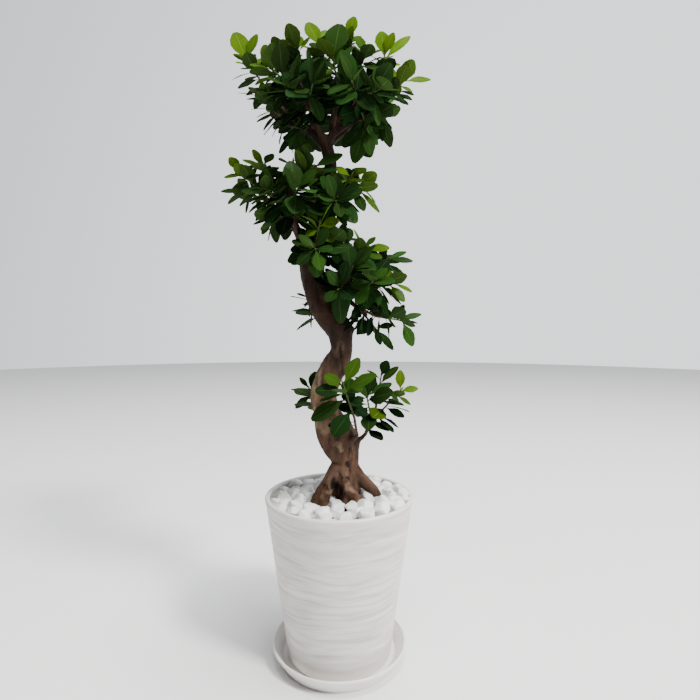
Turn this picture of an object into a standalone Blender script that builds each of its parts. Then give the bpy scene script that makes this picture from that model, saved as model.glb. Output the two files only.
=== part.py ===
"""Potted Chinese banyan: an S-curved trunk with four tiers of foliage, in a tapered white pot on its saucer.

Metres, +Z up. The origin is the centre of the saucer's flat underside, and -Y faces the viewer.
Run with: blender --background --python part.py
"""

import math
import random
from collections import namedtuple

import bmesh
import bpy
from mathutils import Matrix, Vector
from mathutils.bvhtree import BVHTree

for leftover in list(bpy.data.objects):
    bpy.data.objects.remove(leftover)

# Driving dimensions of the pot and its saucer
GAP = 0.0003
WELD = 0.000001
RIM_RADIUS = 0.150
RIM_HEIGHT = 0.332
FOOT_RADIUS = 0.105
POT_WALL = 0.0055
LIP_WIDTH = 0.0095
LIP_DEPTH = 0.012
POT_FLOOR = 0.007
POT_RECESS = 0.003
DRAIN_RADIUS = 0.012
SAUCER_RADIUS = 0.137
SAUCER_FOOT = 0.118
SAUCER_HEIGHT = 0.032
SAUCER_FLOOR = 0.0065
SAUCER_WALL = 0.005
POT_BASE = SAUCER_FLOOR + GAP
TURN_STEPS = 32

# Soil, pebbles and the root stock that stands in them
SOIL_TOP = 0.290
STOCK_BOTTOM = 0.215
STOCK_TOP = 0.320
STOCK_TOP_RADIUS = 0.030
STOCK_LOW_RADIUS = 0.017
STOCK_X = 0.012
BED_TOP = 0.316
BED_REACH = 0.117
PEBBLE_SIZE = 0.0205
PEBBLE_COUNT = 34
PEBBLE_SEED = 5

# Leaves and green stems
BLADE_THICKNESS = 0.0009
LEAF_LENGTH = 0.059
LEAF_HALF_WIDTH = 0.29
STEM_LENGTH = {"crown": 0.045, "shoulder": 0.045, "waist": 0.045, "foot": 0.060}
STEM_RADIUS = 0.0020
TWIG_RADIUS = 0.0025
GOLDEN_ANGLE = math.radians(137.5)
CLEARANCE = 0.0013
SKIN = 0.0008
BEND_ROOM = 0.005
THIN_LIMB = 0.0085
ROUTE_STEP = 0.034

# Woody skeleton: rows of x, y, z in metres and radius in millimetres, each from its root to its tip
TRUNK = [
    (0.012, 0.000, 0.300, 29), (0.012, 0.000, 0.345, 30), (0.013, 0.000, 0.385, 26),
    (0.014, 0.000, 0.411, 26.5), (0.007, 0.002, 0.436, 30), (-0.007, 0.006, 0.462, 30),
    (-0.022, 0.010, 0.493, 28), (-0.033, 0.012, 0.524, 26.5), (-0.030, 0.010, 0.548, 26.5),
    (-0.018, 0.004, 0.575, 27), (-0.004, -0.003, 0.601, 26), (0.005, -0.006, 0.625, 22.5),
    (0.004, -0.006, 0.646, 24), (0.000, -0.003, 0.666, 27), (-0.014, 0.002, 0.686, 27),
    (-0.030, 0.006, 0.706, 25), (-0.038, 0.008, 0.726, 25), (-0.045, 0.008, 0.746, 26),
    (-0.051, 0.006, 0.766, 25.5), (-0.056, 0.004, 0.786, 24), (-0.059, 0.002, 0.806, 21),
    (-0.058, 0.000, 0.830, 18.5), (-0.052, 0.000, 0.856, 17), (-0.043, 0.002, 0.886, 15.5),
    (-0.033, 0.004, 0.920, 14.5), (-0.023, 0.004, 0.952, 13.5), (-0.017, 0.002, 0.984, 13),
    (-0.020, 0.000, 1.012, 13), (-0.026, 0.000, 1.038, 13), (-0.026, 0.000, 1.052, 9),
]
STRANDS = [
    [(-0.002, -0.004, 0.405, 16), (-0.024, -0.008, 0.440, 17), (-0.036, -0.006, 0.480, 15),
     (-0.034, 0.0, 0.520, 14)],
    [(-0.052, -0.008, 0.800, 9), (-0.056, -0.010, 0.750, 14), (-0.046, -0.010, 0.712, 14),
     (-0.024, -0.006, 0.672, 12)],
    [(0.004, -0.006, 0.650, 14), (0.020, -0.010, 0.668, 13), (0.024, -0.010, 0.676, 9)],
    [(0.016, 0.0, 0.400, 20), (0.030, 0.0, 0.432, 13), (0.038, -0.002, 0.440, 7)],
]
ROOTS = [
    [(0.002, -0.006, 0.388, 17), (-0.020, -0.024, 0.360, 15), (-0.042, -0.039, 0.334, 12),
     (-0.054, -0.048, 0.306, 8)],
    [(-0.002, -0.012, 0.380, 15), (0.014, -0.034, 0.358, 13), (0.034, -0.052, 0.334, 11),
     (0.044, -0.064, 0.306, 7)],
    [(0.008, -0.008, 0.365, 14), (0.012, -0.040, 0.336, 11), (0.016, -0.062, 0.304, 8)],
    [(0.022, 0.000, 0.390, 15), (0.050, -0.006, 0.358, 13), (0.074, -0.010, 0.338, 10),
     (0.088, -0.014, 0.306, 7)],
    [(0.018, 0.006, 0.380, 14), (0.034, 0.030, 0.348, 12), (0.048, 0.054, 0.300, 7)],
    [(0.004, 0.006, 0.380, 14), (-0.018, 0.026, 0.348, 12), (-0.036, 0.046, 0.300, 7)],
]
LIMBS = {
    "crown": [
        [(-0.026, 0.000, 1.026, 9), (-0.056, 0.000, 1.056, 6), (-0.092, -0.002, 1.070, 5),
         (-0.122, -0.004, 1.088, 4), (-0.150, -0.008, 1.124, 3)],
        [(-0.028, -0.004, 1.034, 8), (-0.048, -0.038, 1.072, 5.5), (-0.064, -0.062, 1.106, 4),
         (-0.080, -0.058, 1.146, 3)],
        [(-0.026, 0.000, 1.030, 10), (-0.012, -0.002, 1.056, 7.5), (-0.002, -0.006, 1.082, 6),
         (0.000, -0.020, 1.114, 5), (-0.006, -0.032, 1.150, 3.5)],
        [(-0.014, 0.000, 1.050, 7), (0.006, 0.000, 1.066, 6), (0.046, -0.006, 1.086, 4.5),
         (0.080, -0.008, 1.112, 4), (0.096, 0.000, 1.146, 3)],
        [(-0.002, -0.008, 1.080, 5.5), (0.026, -0.048, 1.088, 4.5), (0.050, -0.068, 1.108, 3)],
        [(-0.028, 0.004, 1.034, 8), (-0.050, 0.046, 1.076, 5.5), (-0.078, 0.086, 1.116, 4),
         (-0.084, 0.096, 1.156, 3)],
        [(-0.020, 0.004, 1.036, 8), (0.008, 0.048, 1.076, 5.5), (0.046, 0.084, 1.116, 4),
         (0.064, 0.086, 1.156, 3)],
        [(-0.014, 0.004, 1.056, 7), (-0.014, 0.034, 1.096, 5), (-0.010, 0.048, 1.140, 4),
         (0.002, 0.044, 1.180, 3)],
    ],
    "shoulder": [
        [(-0.060, 0.000, 0.812, 12), (-0.072, -0.006, 0.840, 11), (-0.082, -0.010, 0.862, 9),
         (-0.102, -0.012, 0.886, 6.5), (-0.134, -0.012, 0.914, 4.5), (-0.160, -0.010, 0.938, 3)],
        [(-0.080, -0.010, 0.860, 8), (-0.088, -0.040, 0.884, 5.5), (-0.090, -0.064, 0.914, 4),
         (-0.086, -0.056, 0.950, 3)],
        [(-0.078, -0.002, 0.856, 8), (-0.102, 0.034, 0.886, 5.5), (-0.124, 0.062, 0.914, 3.5)],
        [(-0.042, 0.000, 0.888, 9), (-0.022, -0.018, 0.906, 6), (0.002, -0.030, 0.922, 4.5),
         (0.024, -0.020, 0.934, 3)],
        [(-0.040, 0.002, 0.896, 9), (-0.012, 0.036, 0.912, 6), (0.016, 0.056, 0.930, 3.5)],
    ],
    "waist": [
        [(-0.034, -0.004, 0.732, 12), (-0.004, -0.024, 0.746, 7.5), (0.022, -0.030, 0.764, 6),
         (0.038, -0.030, 0.790, 3.5)],
        [(-0.004, -0.024, 0.746, 6), (0.038, -0.034, 0.748, 4.5), (0.078, -0.030, 0.748, 3.2)],
        [(-0.002, -0.028, 0.744, 6), (0.028, -0.040, 0.716, 4.5), (0.056, -0.036, 0.694, 3.2)],
        [(-0.056, -0.002, 0.812, 10), (-0.050, -0.036, 0.816, 6.5), (-0.038, -0.060, 0.824, 4)],
        [(-0.024, 0.010, 0.672, 8), (-0.046, 0.034, 0.686, 2.8)],
        [(-0.046, 0.008, 0.770, 12), (-0.008, 0.040, 0.782, 6.5), (0.034, 0.052, 0.786, 4.5),
         (0.064, 0.044, 0.790, 3)],
    ],
    "foot": [
        [(0.034, -0.002, 0.438, 7), (0.053, -0.008, 0.456, 4), (0.062, -0.014, 0.490, 3.5),
         (0.066, -0.018, 0.508, 3)],
        [(0.024, -0.012, 0.444, 7), (0.036, -0.040, 0.460, 4), (0.026, -0.066, 0.480, 3),
         (0.018, -0.078, 0.502, 2.8)],
        [(-0.028, 0.016, 0.488, 9), (-0.046, 0.042, 0.498, 3.2)],
    ],
}

# Where each leafy shoot ends, in metres, tier by tier from the top
TIPS = {
    "crown": [
        (-0.180, -0.02, 1.187), (-0.132, -0.05, 1.160), (-0.112, 0.04, 1.215), (-0.080, 0.00, 1.218),
        (-0.036, -0.03, 1.208), (-0.008, -0.10, 1.150), (0.018, 0.02, 1.250), (0.052, -0.04, 1.190),
        (0.090, 0.00, 1.205), (0.128, -0.02, 1.148), (0.112, 0.06, 1.155), (-0.145, -0.04, 1.110),
        (-0.086, -0.10, 1.100), (-0.044, -0.12, 1.090), (0.026, -0.12, 1.096), (0.074, -0.09, 1.098),
        (0.056, -0.050, 1.040), (-0.086, -0.03, 1.056), (0.090, 0.01, 1.092), (-0.120, 0.12, 1.165),
        (-0.040, 0.13, 1.190), (0.040, 0.13, 1.195), (-0.060, 0.12, 1.110), (0.050, 0.12, 1.100),
    ],
    "shoulder": [
        (-0.192, -0.02, 0.975), (-0.142, -0.05, 0.978), (-0.088, -0.03, 0.992), (-0.048, -0.06, 0.970),
        (-0.188, 0.03, 0.950), (-0.128, -0.09, 0.918), (-0.070, -0.11, 0.918), (-0.134, 0.00, 0.888),
        (0.024, -0.05, 0.958), (0.046, 0.00, 0.952), (-0.004, -0.082, 0.902), (-0.130, 0.10, 0.950),
        (-0.030, 0.08, 0.955),
    ],
    "waist": [
        (-0.034, -0.08, 0.862), (-0.040, -0.10, 0.812), (0.012, -0.05, 0.838), (0.050, -0.03, 0.826),
        (0.026, -0.08, 0.782), (0.098, 0.00, 0.808), (0.064, -0.08, 0.756), (0.110, -0.02, 0.758),
        (0.125, -0.03, 0.684), (0.074, -0.012, 0.668), (0.060, 0.07, 0.810), (-0.066, 0.036, 0.735),
        (0.000, -0.075, 0.742),
    ],
    "foot": [
        (0.009, -0.09, 0.566), (0.054, -0.052, 0.540), (0.084, -0.022, 0.576), (0.124, -0.012, 0.546),
        (-0.066, 0.062, 0.540),
    ],
}
LEAVES_PER_SHOOT = {"crown": 5, "shoulder": 5, "waist": 5, "foot": 6}
RISE = {"crown": 0.16, "shoulder": 0.10, "waist": -0.02, "foot": 0.0}

# Leaves that make the outline are set by hand. Each row is a leaf's place along its stem, how far its tip
# is from there (right, back and up, in millimetres), its width beside a common one's, how much it turns
# to the viewer, and whether it is young.
POSED_BEND = 0.12
POSED = {
    "crown_shoot_1": [
        (0.90, (-23, 0, 61), 0.95, 1.6, 1), (0.97, (20, -6, 50), 0.62, 1.6, 1),
        (0.75, (-21, -20, -2), 0.80, 1.0, 1), (0.60, (22, 16, 32), 0.90, 1.0, 0),
        (0.42, (-44, 0, -9), 0.60, 0.5, 0),
    ],
    "crown_shoot_2": [
        (0.96, (-8, 0, 43), 0.85, 1.4, 1), (0.90, (20, 12, 32), 0.90, 1.0, 0),
        (0.75, (-39, -12, 8), 0.90, 1.0, 0), (0.45, (-40, -18, -22), 0.90, 0.6, 0),
    ],
    "crown_shoot_4": [
        (0.92, (-25, 0, 38), 0.28, 1.0, 0), (0.97, (4, 4, 31), 0.90, 1.4, 0),
        (0.86, (21, -16, 22), 0.80, 1.2, 1), (0.70, (-30, -14, -3), 0.80, 0.8, 0),
    ],
    "crown_shoot_5": [
        (0.94, (-23, 0, 51), 0.95, 1.5, 1), (0.78, (-50, -26, 43), 0.70, 0.9, 1),
        (0.90, (8, 24, 55), 0.75, 1.4, 1), (0.68, (-37, -16, 11), 0.80, 0.8, 0),
    ],
    "crown_shoot_6": [
        (0.97, (11, 0, 63), 1.15, 1.9, 0), (0.85, (-35, -14, -2), 1.00, 1.0, 0),
        (0.78, (34, -14, -12), 1.00, 1.0, 0), (0.60, (-34, -22, -34), 1.00, 1.2, 0),
        (0.45, (28, -22, -40), 1.00, 1.2, 0),
    ],
    "crown_shoot_7": [
        (0.96, (12, -4, 46), 0.90, 1.6, 1), (0.45, (12, -22, 39), 0.75, 1.4, 1),
        (0.78, (28, 4, 22), 0.90, 1.2, 0), (0.40, (36, -20, 0), 0.90, 0.9, 0),
    ],
    "crown_shoot_8": [
        (0.92, (-13, -4, 35), 0.90, 1.4, 0), (0.97, (11, 16, 31), 0.80, 1.4, 0),
        (0.80, (32, -12, 12), 0.90, 0.9, 0), (0.45, (38, -24, -12), 1.00, 1.0, 0),
    ],
    "crown_shoot_9": [
        (0.92, (-5, 0, 55), 0.95, 1.5, 1), (0.82, (49, 0, 53), 0.55, 1.4, 1),
        (0.97, (15, -12, 42), 0.80, 1.2, 1), (0.60, (30, -20, -6), 0.80, 1.0, 1),
        (0.50, (-24, -20, 2), 0.90, 1.0, 0),
    ],
    "crown_shoot_10": [
        (0.90, (8, 0, 50), 0.95, 1.5, 1), (0.95, (52, 0, 10), 0.68, 1.4, 1),
        (0.72, (24, -10, -14), 0.80, 0.8, 1), (0.66, (-13, -18, 28), 0.90, 1.0, 1),
        (0.30, (22, -14, -18), 0.80, 0.6, 0),
    ],
    "crown_shoot_11": [
        (0.95, (27, -10, -15), 0.70, 0.8, 0), (0.90, (40, 16, 9), 0.50, 0.5, 0),
        (0.70, (15, -16, -36), 0.75, 0.8, 1), (0.40, (2, -14, -33), 0.90, 0.8, 0),
    ],
    "crown_shoot_12": [
        (0.90, (-46, -6, 12), 0.35, 0.5, 0), (0.97, (-25, -4, 18), 0.80, 1.2, 1),
        (0.99, (0, 0, 28), 0.80, 1.0, 0), (0.20, (-40, -10, 0), 0.30, 0.5, 0),
    ],
    "crown_shoot_17": [
        (0.88, (23, 10, -24), 0.90, 1.4, 0), (0.97, (4, -22, -48), 0.75, 1.2, 0),
        (0.72, (-26, 12, -63), 0.85, 1.4, 0), (0.70, (-44, -14, -40), 1.00, 1.2, 0),
        (0.60, (34, -10, -8), 0.90, 1.2, 0),
    ],
    "crown_shoot_18": [
        (0.80, (-13, -4, -39), 0.55, 0.6, 0), (0.97, (-22, 10, -14), 0.60, 0.8, 0),
        (0.35, (10, -8, -46), 0.80, 0.8, 0), (0.20, (34, -14, -18), 0.90, 1.0, 0),
    ],
    "shoulder_shoot_1": [
        (0.95, (-22, 0, 31), 0.95, 1.5, 1), (0.88, (23, 0, 19), 0.80, 1.0, 0),
        (0.80, (-36, -10, -4), 0.70, 1.0, 1), (0.45, (-32, -14, -16), 0.80, 0.8, 0),
    ],
    "shoulder_shoot_2": [
        (0.90, (-16, -16, 28), 0.80, 1.3, 1), (0.97, (15, 14, 30), 0.90, 1.3, 0),
        (0.80, (24, -8, 4), 0.80, 0.8, 0), (0.62, (-38, -12, -8), 0.80, 0.8, 0),
    ],
    "shoulder_shoot_3": [
        (0.97, (-12, 0, 38), 0.45, 1.3, 1), (0.92, (30, 0, 40), 0.70, 1.3, 1),
        (0.78, (-41, -4, 23), 0.75, 1.2, 0), (0.66, (35, -14, 8), 0.90, 1.0, 0),
    ],
    "shoulder_shoot_4": [
        (0.95, (55, -4, 30), 0.72, 1.4, 0), (0.88, (-4, 4, 35), 0.80, 1.0, 0),
        (0.76, (50, -12, 6), 0.80, 1.0, 0), (0.40, (34, -18, -18), 0.90, 0.9, 0),
    ],
    "shoulder_shoot_5": [
        (0.95, (-57, 0, 7), 0.50, 1.2, 0), (0.80, (-12, -4, -40), 0.30, 0.5, 0),
        (0.93, (-21, 6, 28), 0.80, 1.0, 0), (0.55, (16, 0, 27), 0.80, 0.9, 0),
        (0.35, (14, -6, -36), 0.80, 0.9, 0),
    ],
    "shoulder_shoot_8": [
        (0.95, (-21, -8, -30), 0.75, 1.3, 0), (0.60, (-21, 16, -41), 0.35, 0.6, 0),
        (0.90, (-41, 4, -6), 0.60, 0.9, 0), (0.50, (18, -14, -30), 0.80, 1.0, 0),
    ],
    "shoulder_shoot_9": [
        (0.94, (-26, -4, 18), 0.95, 1.5, 1), (0.72, (-34, -12, -11), 0.70, 1.0, 1),
        (0.60, (30, -6, -9), 0.80, 1.0, 0),
    ],
    "shoulder_shoot_10": [
        (0.97, (-15, -8, 32), 0.50, 1.3, 1), (0.93, (17, 4, 11), 0.75, 1.3, 1),
        (0.60, (47, -6, -43), 0.42, 0.8, 0), (0.92, (33, 4, -27), 0.30, 0.6, 1),
        (0.30, (20, -30, -42), 0.70, 1.0, 0),
    ],
    "waist_shoot_1": [
        (0.80, (36, -12, 12), 1.05, 2.0, 1), (0.60, (-23, -12, -10), 0.90, 1.7, 0),
        (0.97, (-20, 0, 32), 0.80, 1.0, 0), (0.90, (18, 6, 42), 0.80, 1.0, 1),
        (0.40, (30, -20, -14), 0.90, 1.5, 0),
    ],
    "waist_shoot_2": [
        (0.90, (10, -14, -38), 0.95, 1.6, 0), (0.70, (-34, -10, -26), 0.95, 1.4, 0),
        (0.97, (-28, -6, 26), 0.80, 1.2, 0),
    ],
    "waist_shoot_3": [
        (0.97, (28, 0, 3), 0.50, 1.0, 0), (0.88, (20, -10, -19), 0.90, 1.4, 0),
        (0.80, (6, -4, 34), 0.80, 1.0, 0), (0.60, (2, -16, -40), 1.00, 1.5, 0),
    ],
    "waist_shoot_4": [
        (0.97, (21, 4, 24), 0.70, 1.1, 0), (0.92, (49, -4, 5), 0.80, 1.3, 1),
        (0.86, (-16, 0, 41), 0.22, 0.6, 0), (0.80, (-4, -10, 21), 0.70, 1.2, 1),
        (0.60, (38, -16, -7), 0.90, 1.0, 0),
    ],
    "waist_shoot_6": [
        (0.90, (42, 12, 22), 0.50, 1.2, 0), (0.98, (48, -16, -2), 0.55, 1.3, 0),
        (0.55, (52, -12, -24), 0.50, 1.0, 0), (0.70, (4, 10, 35), 0.80, 0.9, 0),
        (0.35, (20, -18, -16), 0.90, 0.9, 0),
    ],
    "waist_shoot_7": [
        (0.90, (-39, -4, -6), 1.05, 1.5, 0), (0.75, (-30, -14, -38), 0.90, 1.2, 0),
        (0.97, (26, 0, 26), 0.90, 1.3, 0), (0.40, (-8, -8, 42), 0.90, 1.3, 0),
    ],
    "waist_shoot_8": [
        (0.97, (23, -8, 16), 0.85, 1.6, 1), (0.93, (38, 0, -13), 0.60, 0.8, 0),
        (0.80, (-8, -12, 27), 0.90, 1.2, 0), (0.62, (30, -14, -32), 0.80, 1.0, 0),
    ],
    "waist_shoot_9": [
        (0.97, (23, -4, -49), 0.75, 1.5, 0), (0.80, (44, 0, 15), 0.60, 1.0, 0),
        (0.93, (33, 2, -2), 0.40, 0.8, 0), (0.72, (11, -14, 28), 0.80, 1.0, 0),
        (0.40, (-20, -16, 40), 0.90, 1.0, 0),
    ],
    "waist_shoot_10": [
        (0.97, (37, -4, -40), 0.55, 1.2, 0), (0.85, (12, -12, -33), 0.70, 1.0, 0),
        (0.90, (35, 0, 8), 0.80, 1.2, 0), (0.30, (-12, -6, -24), 0.50, 0.8, 0),
        (0.15, (6, -16, 22), 0.60, 0.8, 0),
    ],
    "waist_shoot_12": [
        (0.96, (-20, -15, 9), 0.70, 0.8, 0), (0.80, (-12, -1, -13), 0.80, 0.8, 0),
        (0.60, (-8, 7, -27), 0.70, 0.5, 0), (0.40, (-10, 14, -42), 0.60, 0.3, 0),
        (0.85, (14, 25, 30), 0.90, 0.3, 0),
    ],
    "waist_shoot_13": [
        (0.80, (4, -4, -65), 0.80, 1.9, 0), (0.90, (-26, -6, 34), 0.80, 1.0, 0),
        (0.30, (38, -20, -18), 0.80, 0.9, 0),
    ],
    "foot_shoot_1": [
        (0.92, (-35, 1, 22), 0.95, 1.8, 1), (0.97, (28, 5, 51), 0.75, 1.8, 1),
        (0.82, (52, -30, 33), 0.62, 1.2, 0), (0.78, (-55, -3, 3), 0.85, 1.8, 0),
        (0.72, (33, 8, 8), 0.80, 1.2, 0), (0.66, (-53, 21, -9), 0.80, 0.3, 0),
        (0.52, (-70, -6, -36), 0.72, 1.2, 0), (0.50, (28, -14, 0), 0.90, 0.8, 0),
        (0.10, (-34, -34, -38), 1.00, 1.6, 0), (0.22, (31, -14, -11), 1.00, 0.9, 0),
    ],
    "foot_shoot_2": [
        (0.72, (37, -55, 26), 0.85, 1.7, 0), (0.93, (9, -30, 45), 0.75, 1.2, 0),
        (0.97, (48, 11, 27), 0.62, 1.0, 0), (0.88, (-29, -1, -2), 0.90, 0.8, 0),
        (0.40, (-24, -34, -9), 0.90, 0.9, 0),
    ],
    "foot_shoot_3": [
        (0.97, (9, -23, 30), 1.00, 1.5, 0), (0.78, (36, -31, -31), 0.40, 0.3, 0),
        (0.86, (-24, 1, 21), 0.55, 0.35, 0),
    ],
    "foot_shoot_4": [
        (0.97, (-1, -10, 40), 0.80, 1.8, 1), (0.94, (36, -3, 8), 0.75, 1.2, 1),
        (0.74, (31, -2, -16), 0.60, 0.6, 0), (0.24, (18, -17, 11), 0.80, 1.8, 1),
        (0.16, (37, -16, -14), 0.72, 1.0, 0), (0.10, (-22, -52, -4), 1.10, 1.5, 1),
    ],
    "foot_shoot_5": [
        (0.97, (-20, 1, 25), 0.60, 1.2, 0), (0.84, (11, 1, 41), 0.90, 1.2, 0),
        (0.55, (-41, 8, -26), 0.80, 0.8, 0), (0.35, (33, 35, 8), 0.90, 0.5, 0),
    ],
}

# A blade seen flat: how far across (1 is the full half width) and how far along each point of its edge lies
BLADE_EDGE = [(0, 0), (0.84, 0.40), (0.88, 0.78), (0, 1.0), (-0.88, 0.78), (-0.84, 0.40)]
BLADE_FACES = [(3, 0, 1), (3, 1, 2), (3, 4, 5), (3, 5, 0)]
FOLD = 0.22

# How far a leaf that would touch another may be turned about its stem, and tilted from it, in radians
LEAF_TRIES = [
    (0, 0), (0.35, 0), (-0.35, 0), (0, -0.3), (0, 0.3), (0.7, -0.1), (-0.7, -0.1), (1.1, 0.15), (-1.1, 0.15),
]

Leaf = namedtuple("Leaf", "base along face length width bend young")
Shoot = namedtuple("Shoot", "name tier twig stem leaves")


def smooth_route(rows, spacing):
    """Points about spacing apart, with their radii, on a smooth curve through rows of x, y, z and radius."""
    rows = [rows[0], *rows, rows[-1]]
    made = []
    for before, start, end, after in zip(rows, rows[1:], rows[2:], rows[3:]):
        steps = max(1, round(math.dist(start[:3], end[:3]) / spacing))
        for step in range(steps):
            t = step / steps
            made.append([
                b + 0.5 * ((c - a) * t + (2 * a - 5 * b + 4 * c - d) * t**2 + (3 * b - a - 3 * c + d) * t**3)
                for a, b, c, d in zip(before, start, end, after)
            ])
    made.append(list(rows[-1]))
    return [(Vector(row[:3]), row[3] / 1000) for row in made]


def twig_route(limb, tip):
    """A bowed twig: it leaves the limb at a slant, somewhat behind the tip, and bends over to it."""
    nearest = min(range(len(limb) - 1), key=lambda k: (limb[k][0] - tip).length)
    reach = (limb[nearest][0] - tip).length
    start = nearest
    while start > 1 and (limb[start][0] - limb[nearest][0]).length < 0.4 * reach:
        start -= 1
    root = limb[start][0]
    onward = (limb[start + 1][0] - limb[max(start - 1, 0)][0]).normalized()
    bend = root + onward * 0.45 * (tip - root).length
    return [root * (1 - t) ** 2 + bend * 2 * t * (1 - t) + tip * t**2 for t in (0, 0.5, 1)]


def cut_route(points, from_end):
    """The woody and the green part of a twig, cut square at a distance from its tip, a hair apart."""
    head, left = list(points), from_end
    tail = [head.pop()]
    while len(head) > 1 and (head[-1] - tail[0]).length < left:
        left -= (head[-1] - tail[0]).length
        tail.insert(0, head.pop())
    if left < BEND_ROOM and len(tail) > 1:
        head.append(tail.pop(0))
        left = from_end
    back = (head[-1] - tail[0]).normalized()
    left = min(left, (head[-1] - tail[0]).length - BEND_ROOM)
    return [*head, tail[0] + back * left], [tail[0] + back * (left - GAP), *tail]


def place_on(points, share):
    """The point and the direction at a share of a route's length."""
    lengths = [(b - a).length for a, b in zip(points, points[1:])]
    left = share * sum(lengths)
    for a, b, length in zip(points, points[1:], lengths):
        if left <= length or b is points[-1]:
            return a + (b - a) * min(1, left / length), (b - a).normalized()
        left -= length


def blade_point(leaf, side, t, lift=0.0):
    """A point of a blade: side is -1 to 1 across it, t is 0 to 1 along it, lift is off its middle face."""
    across = leaf.along.cross(leaf.face)
    height = FOLD * abs(side) * leaf.width - leaf.bend * leaf.length * t * t + lift
    return leaf.base + leaf.along * (leaf.length * t) + across * (side * leaf.width) + leaf.face * height


def blade_patch(leaf):
    """A blade's middle face, to find what crosses it."""
    return [blade_point(leaf, *place) for place in BLADE_EDGE], BLADE_FACES


def blade_envelope(leaf, start):
    """A thicker and wider blade from a share of its length on, which has to be clear of everything else."""
    grown = leaf._replace(width=leaf.width * 1.06 + 0.0006)
    side_points = [(0.84, 0.38), (0.88, 0.80)]
    ring = [(0, 1.03), (-0.88, 0.80), (-0.84, 0.38), (-0.12, start), (0.12, start), *side_points]
    corners = len(ring)
    points = [blade_point(grown, *place, lift) for lift in (CLEARANCE, -CLEARANCE) for place in ring]
    faces = []
    for k in range(corners):
        after = (k + 1) % corners
        faces += [(k, k + corners, after + corners), (k, after + corners, after)]
        if 0 < k < corners - 1:
            faces += [(0, k, k + 1), (corners, k + 1 + corners, k + corners)]
    return points, faces


def skin(points, radii, sides=8):
    """A plain skin round a route, to keep leaves clear of it."""
    made = []
    for k, (point, radius) in enumerate(zip(points, radii)):
        onward = (points[min(k + 1, len(points) - 1)] - points[max(k - 1, 0)]).normalized()
        right = onward.orthogonal().normalized()
        up = onward.cross(right)
        for s in range(sides):
            angle = math.tau * s / sides
            made.append(point + (right * math.cos(angle) + up * math.sin(angle)) * radius)
    faces = []
    for k in range(len(points) - 1):
        for s in range(sides):
            a, b = k * sides + s, k * sides + (s + 1) % sides
            faces.append((a, b, b + sides, a + sides))
    return made, faces


def tree_of(skins):
    """One search tree over several sets of points and faces."""
    points, faces = [], []
    for some_points, some_faces in skins:
        faces += [tuple(len(points) + v for v in face) for face in some_faces]
        points += some_points
    return BVHTree.FromPolygons(points, faces) if faces else None


def make_leaf(base, along, sky, length, girth, bend, young):
    """A leaf whose upper face turns to the sky side."""
    along = along.normalized()
    face = (sky - along * sky.dot(along)).normalized()
    return Leaf(base, along, face, length, length * LEAF_HALF_WIDTH * girth, bend, young)


def leaf_choices(name, tier, stem, index):
    """The leaf that a stem bears at this place, then the same leaf turned, tilted or shorter."""
    rng = random.Random(f"{name} {index}")
    count = LEAVES_PER_SHOOT[tier]
    share = 0.14 + 0.80 * index / (count - 1)
    base, axis = place_on(stem, share)
    right = axis.orthogonal().normalized()
    up = axis.cross(right)
    young = int(index >= count - 2)
    first_turn = random.Random(name).uniform(0, math.tau)
    turn = first_turn + GOLDEN_ANGLE * index + rng.uniform(-0.25, 0.25)
    spread = math.radians(78 - 44 * share**1.6) + rng.uniform(-0.1, 0.1)
    length = LEAF_LENGTH * rng.uniform(0.86, 1.12) * (0.72 if young else 1.0)
    girth, bend = rng.uniform(0.92, 1.08), rng.uniform(0.06, 0.20)
    for shorter in (1.0, 0.84):
        for more_turn, more_spread in LEAF_TRIES:
            a, s = turn + more_turn, spread + more_spread
            along = axis * math.cos(s) + (right * math.cos(a) + up * math.sin(a)) * math.sin(s)
            along.z += RISE[tier] * (1 - abs(along.z))
            yield make_leaf(base, along, axis + Vector((0, 0, 0.9)), length * shorter, girth, bend, young)


def posed_leaf(stem, share, reach, girth, front, young):
    """A leaf that is set by hand."""
    along = Vector(reach) / 1000
    sky = Vector((0, -front, 1))
    return make_leaf(place_on(stem, share)[0], along, sky, along.length, girth, POSED_BEND, young)


def all_choices(name, tier, stem):
    """For each leaf of a shoot, the ways in which it may stand: first those set by hand, then the rest."""
    rows = POSED.get(name, [])
    for row in rows:
        yield [posed_leaf(stem, *row)]
    for index in range(LEAVES_PER_SHOOT[tier] - len(rows)):
        yield leaf_choices(name, tier, stem, index)


def bare_twigs(limbs, routes):
    """A woody twig and a green stem up to each tip, with the stem shortened until it clears the wood."""
    wood = [skin([p for p, _ in route], [r * 1.08 + SKIN for _, r in route]) for route in routes]
    made, green = [], []
    for tier, tips in TIPS.items():
        for number, tip in enumerate(tips, 1):
            tip = Vector(tip)
            limb = min(limbs[tier], key=lambda route: min((p - tip).length for p, _ in route[1:]))
            route = twig_route(limb, tip)
            whole = sum((b - a).length for a, b in zip(route, route[1:]))
            for shorter in (1, 0.85, 0.7, 0.55):
                twig, stem = cut_route(route, min(STEM_LENGTH[tier], 0.6 * whole) * shorter)
                soft = skin(stem, [STEM_RADIUS + SKIN] * len(stem))
                woody = skin(twig, [TWIG_RADIUS + SKIN] * len(twig))
                blocked = tree_of(wood).overlap(tree_of([soft]))
                if not blocked and not (green and tree_of(green).overlap(tree_of([woody]))):
                    break
            wood.append(woody)
            green.append(soft)
            made.append((f"{tier}_shoot_{number}", tier, twig, stem))
    return made, tree_of(wood)


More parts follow.
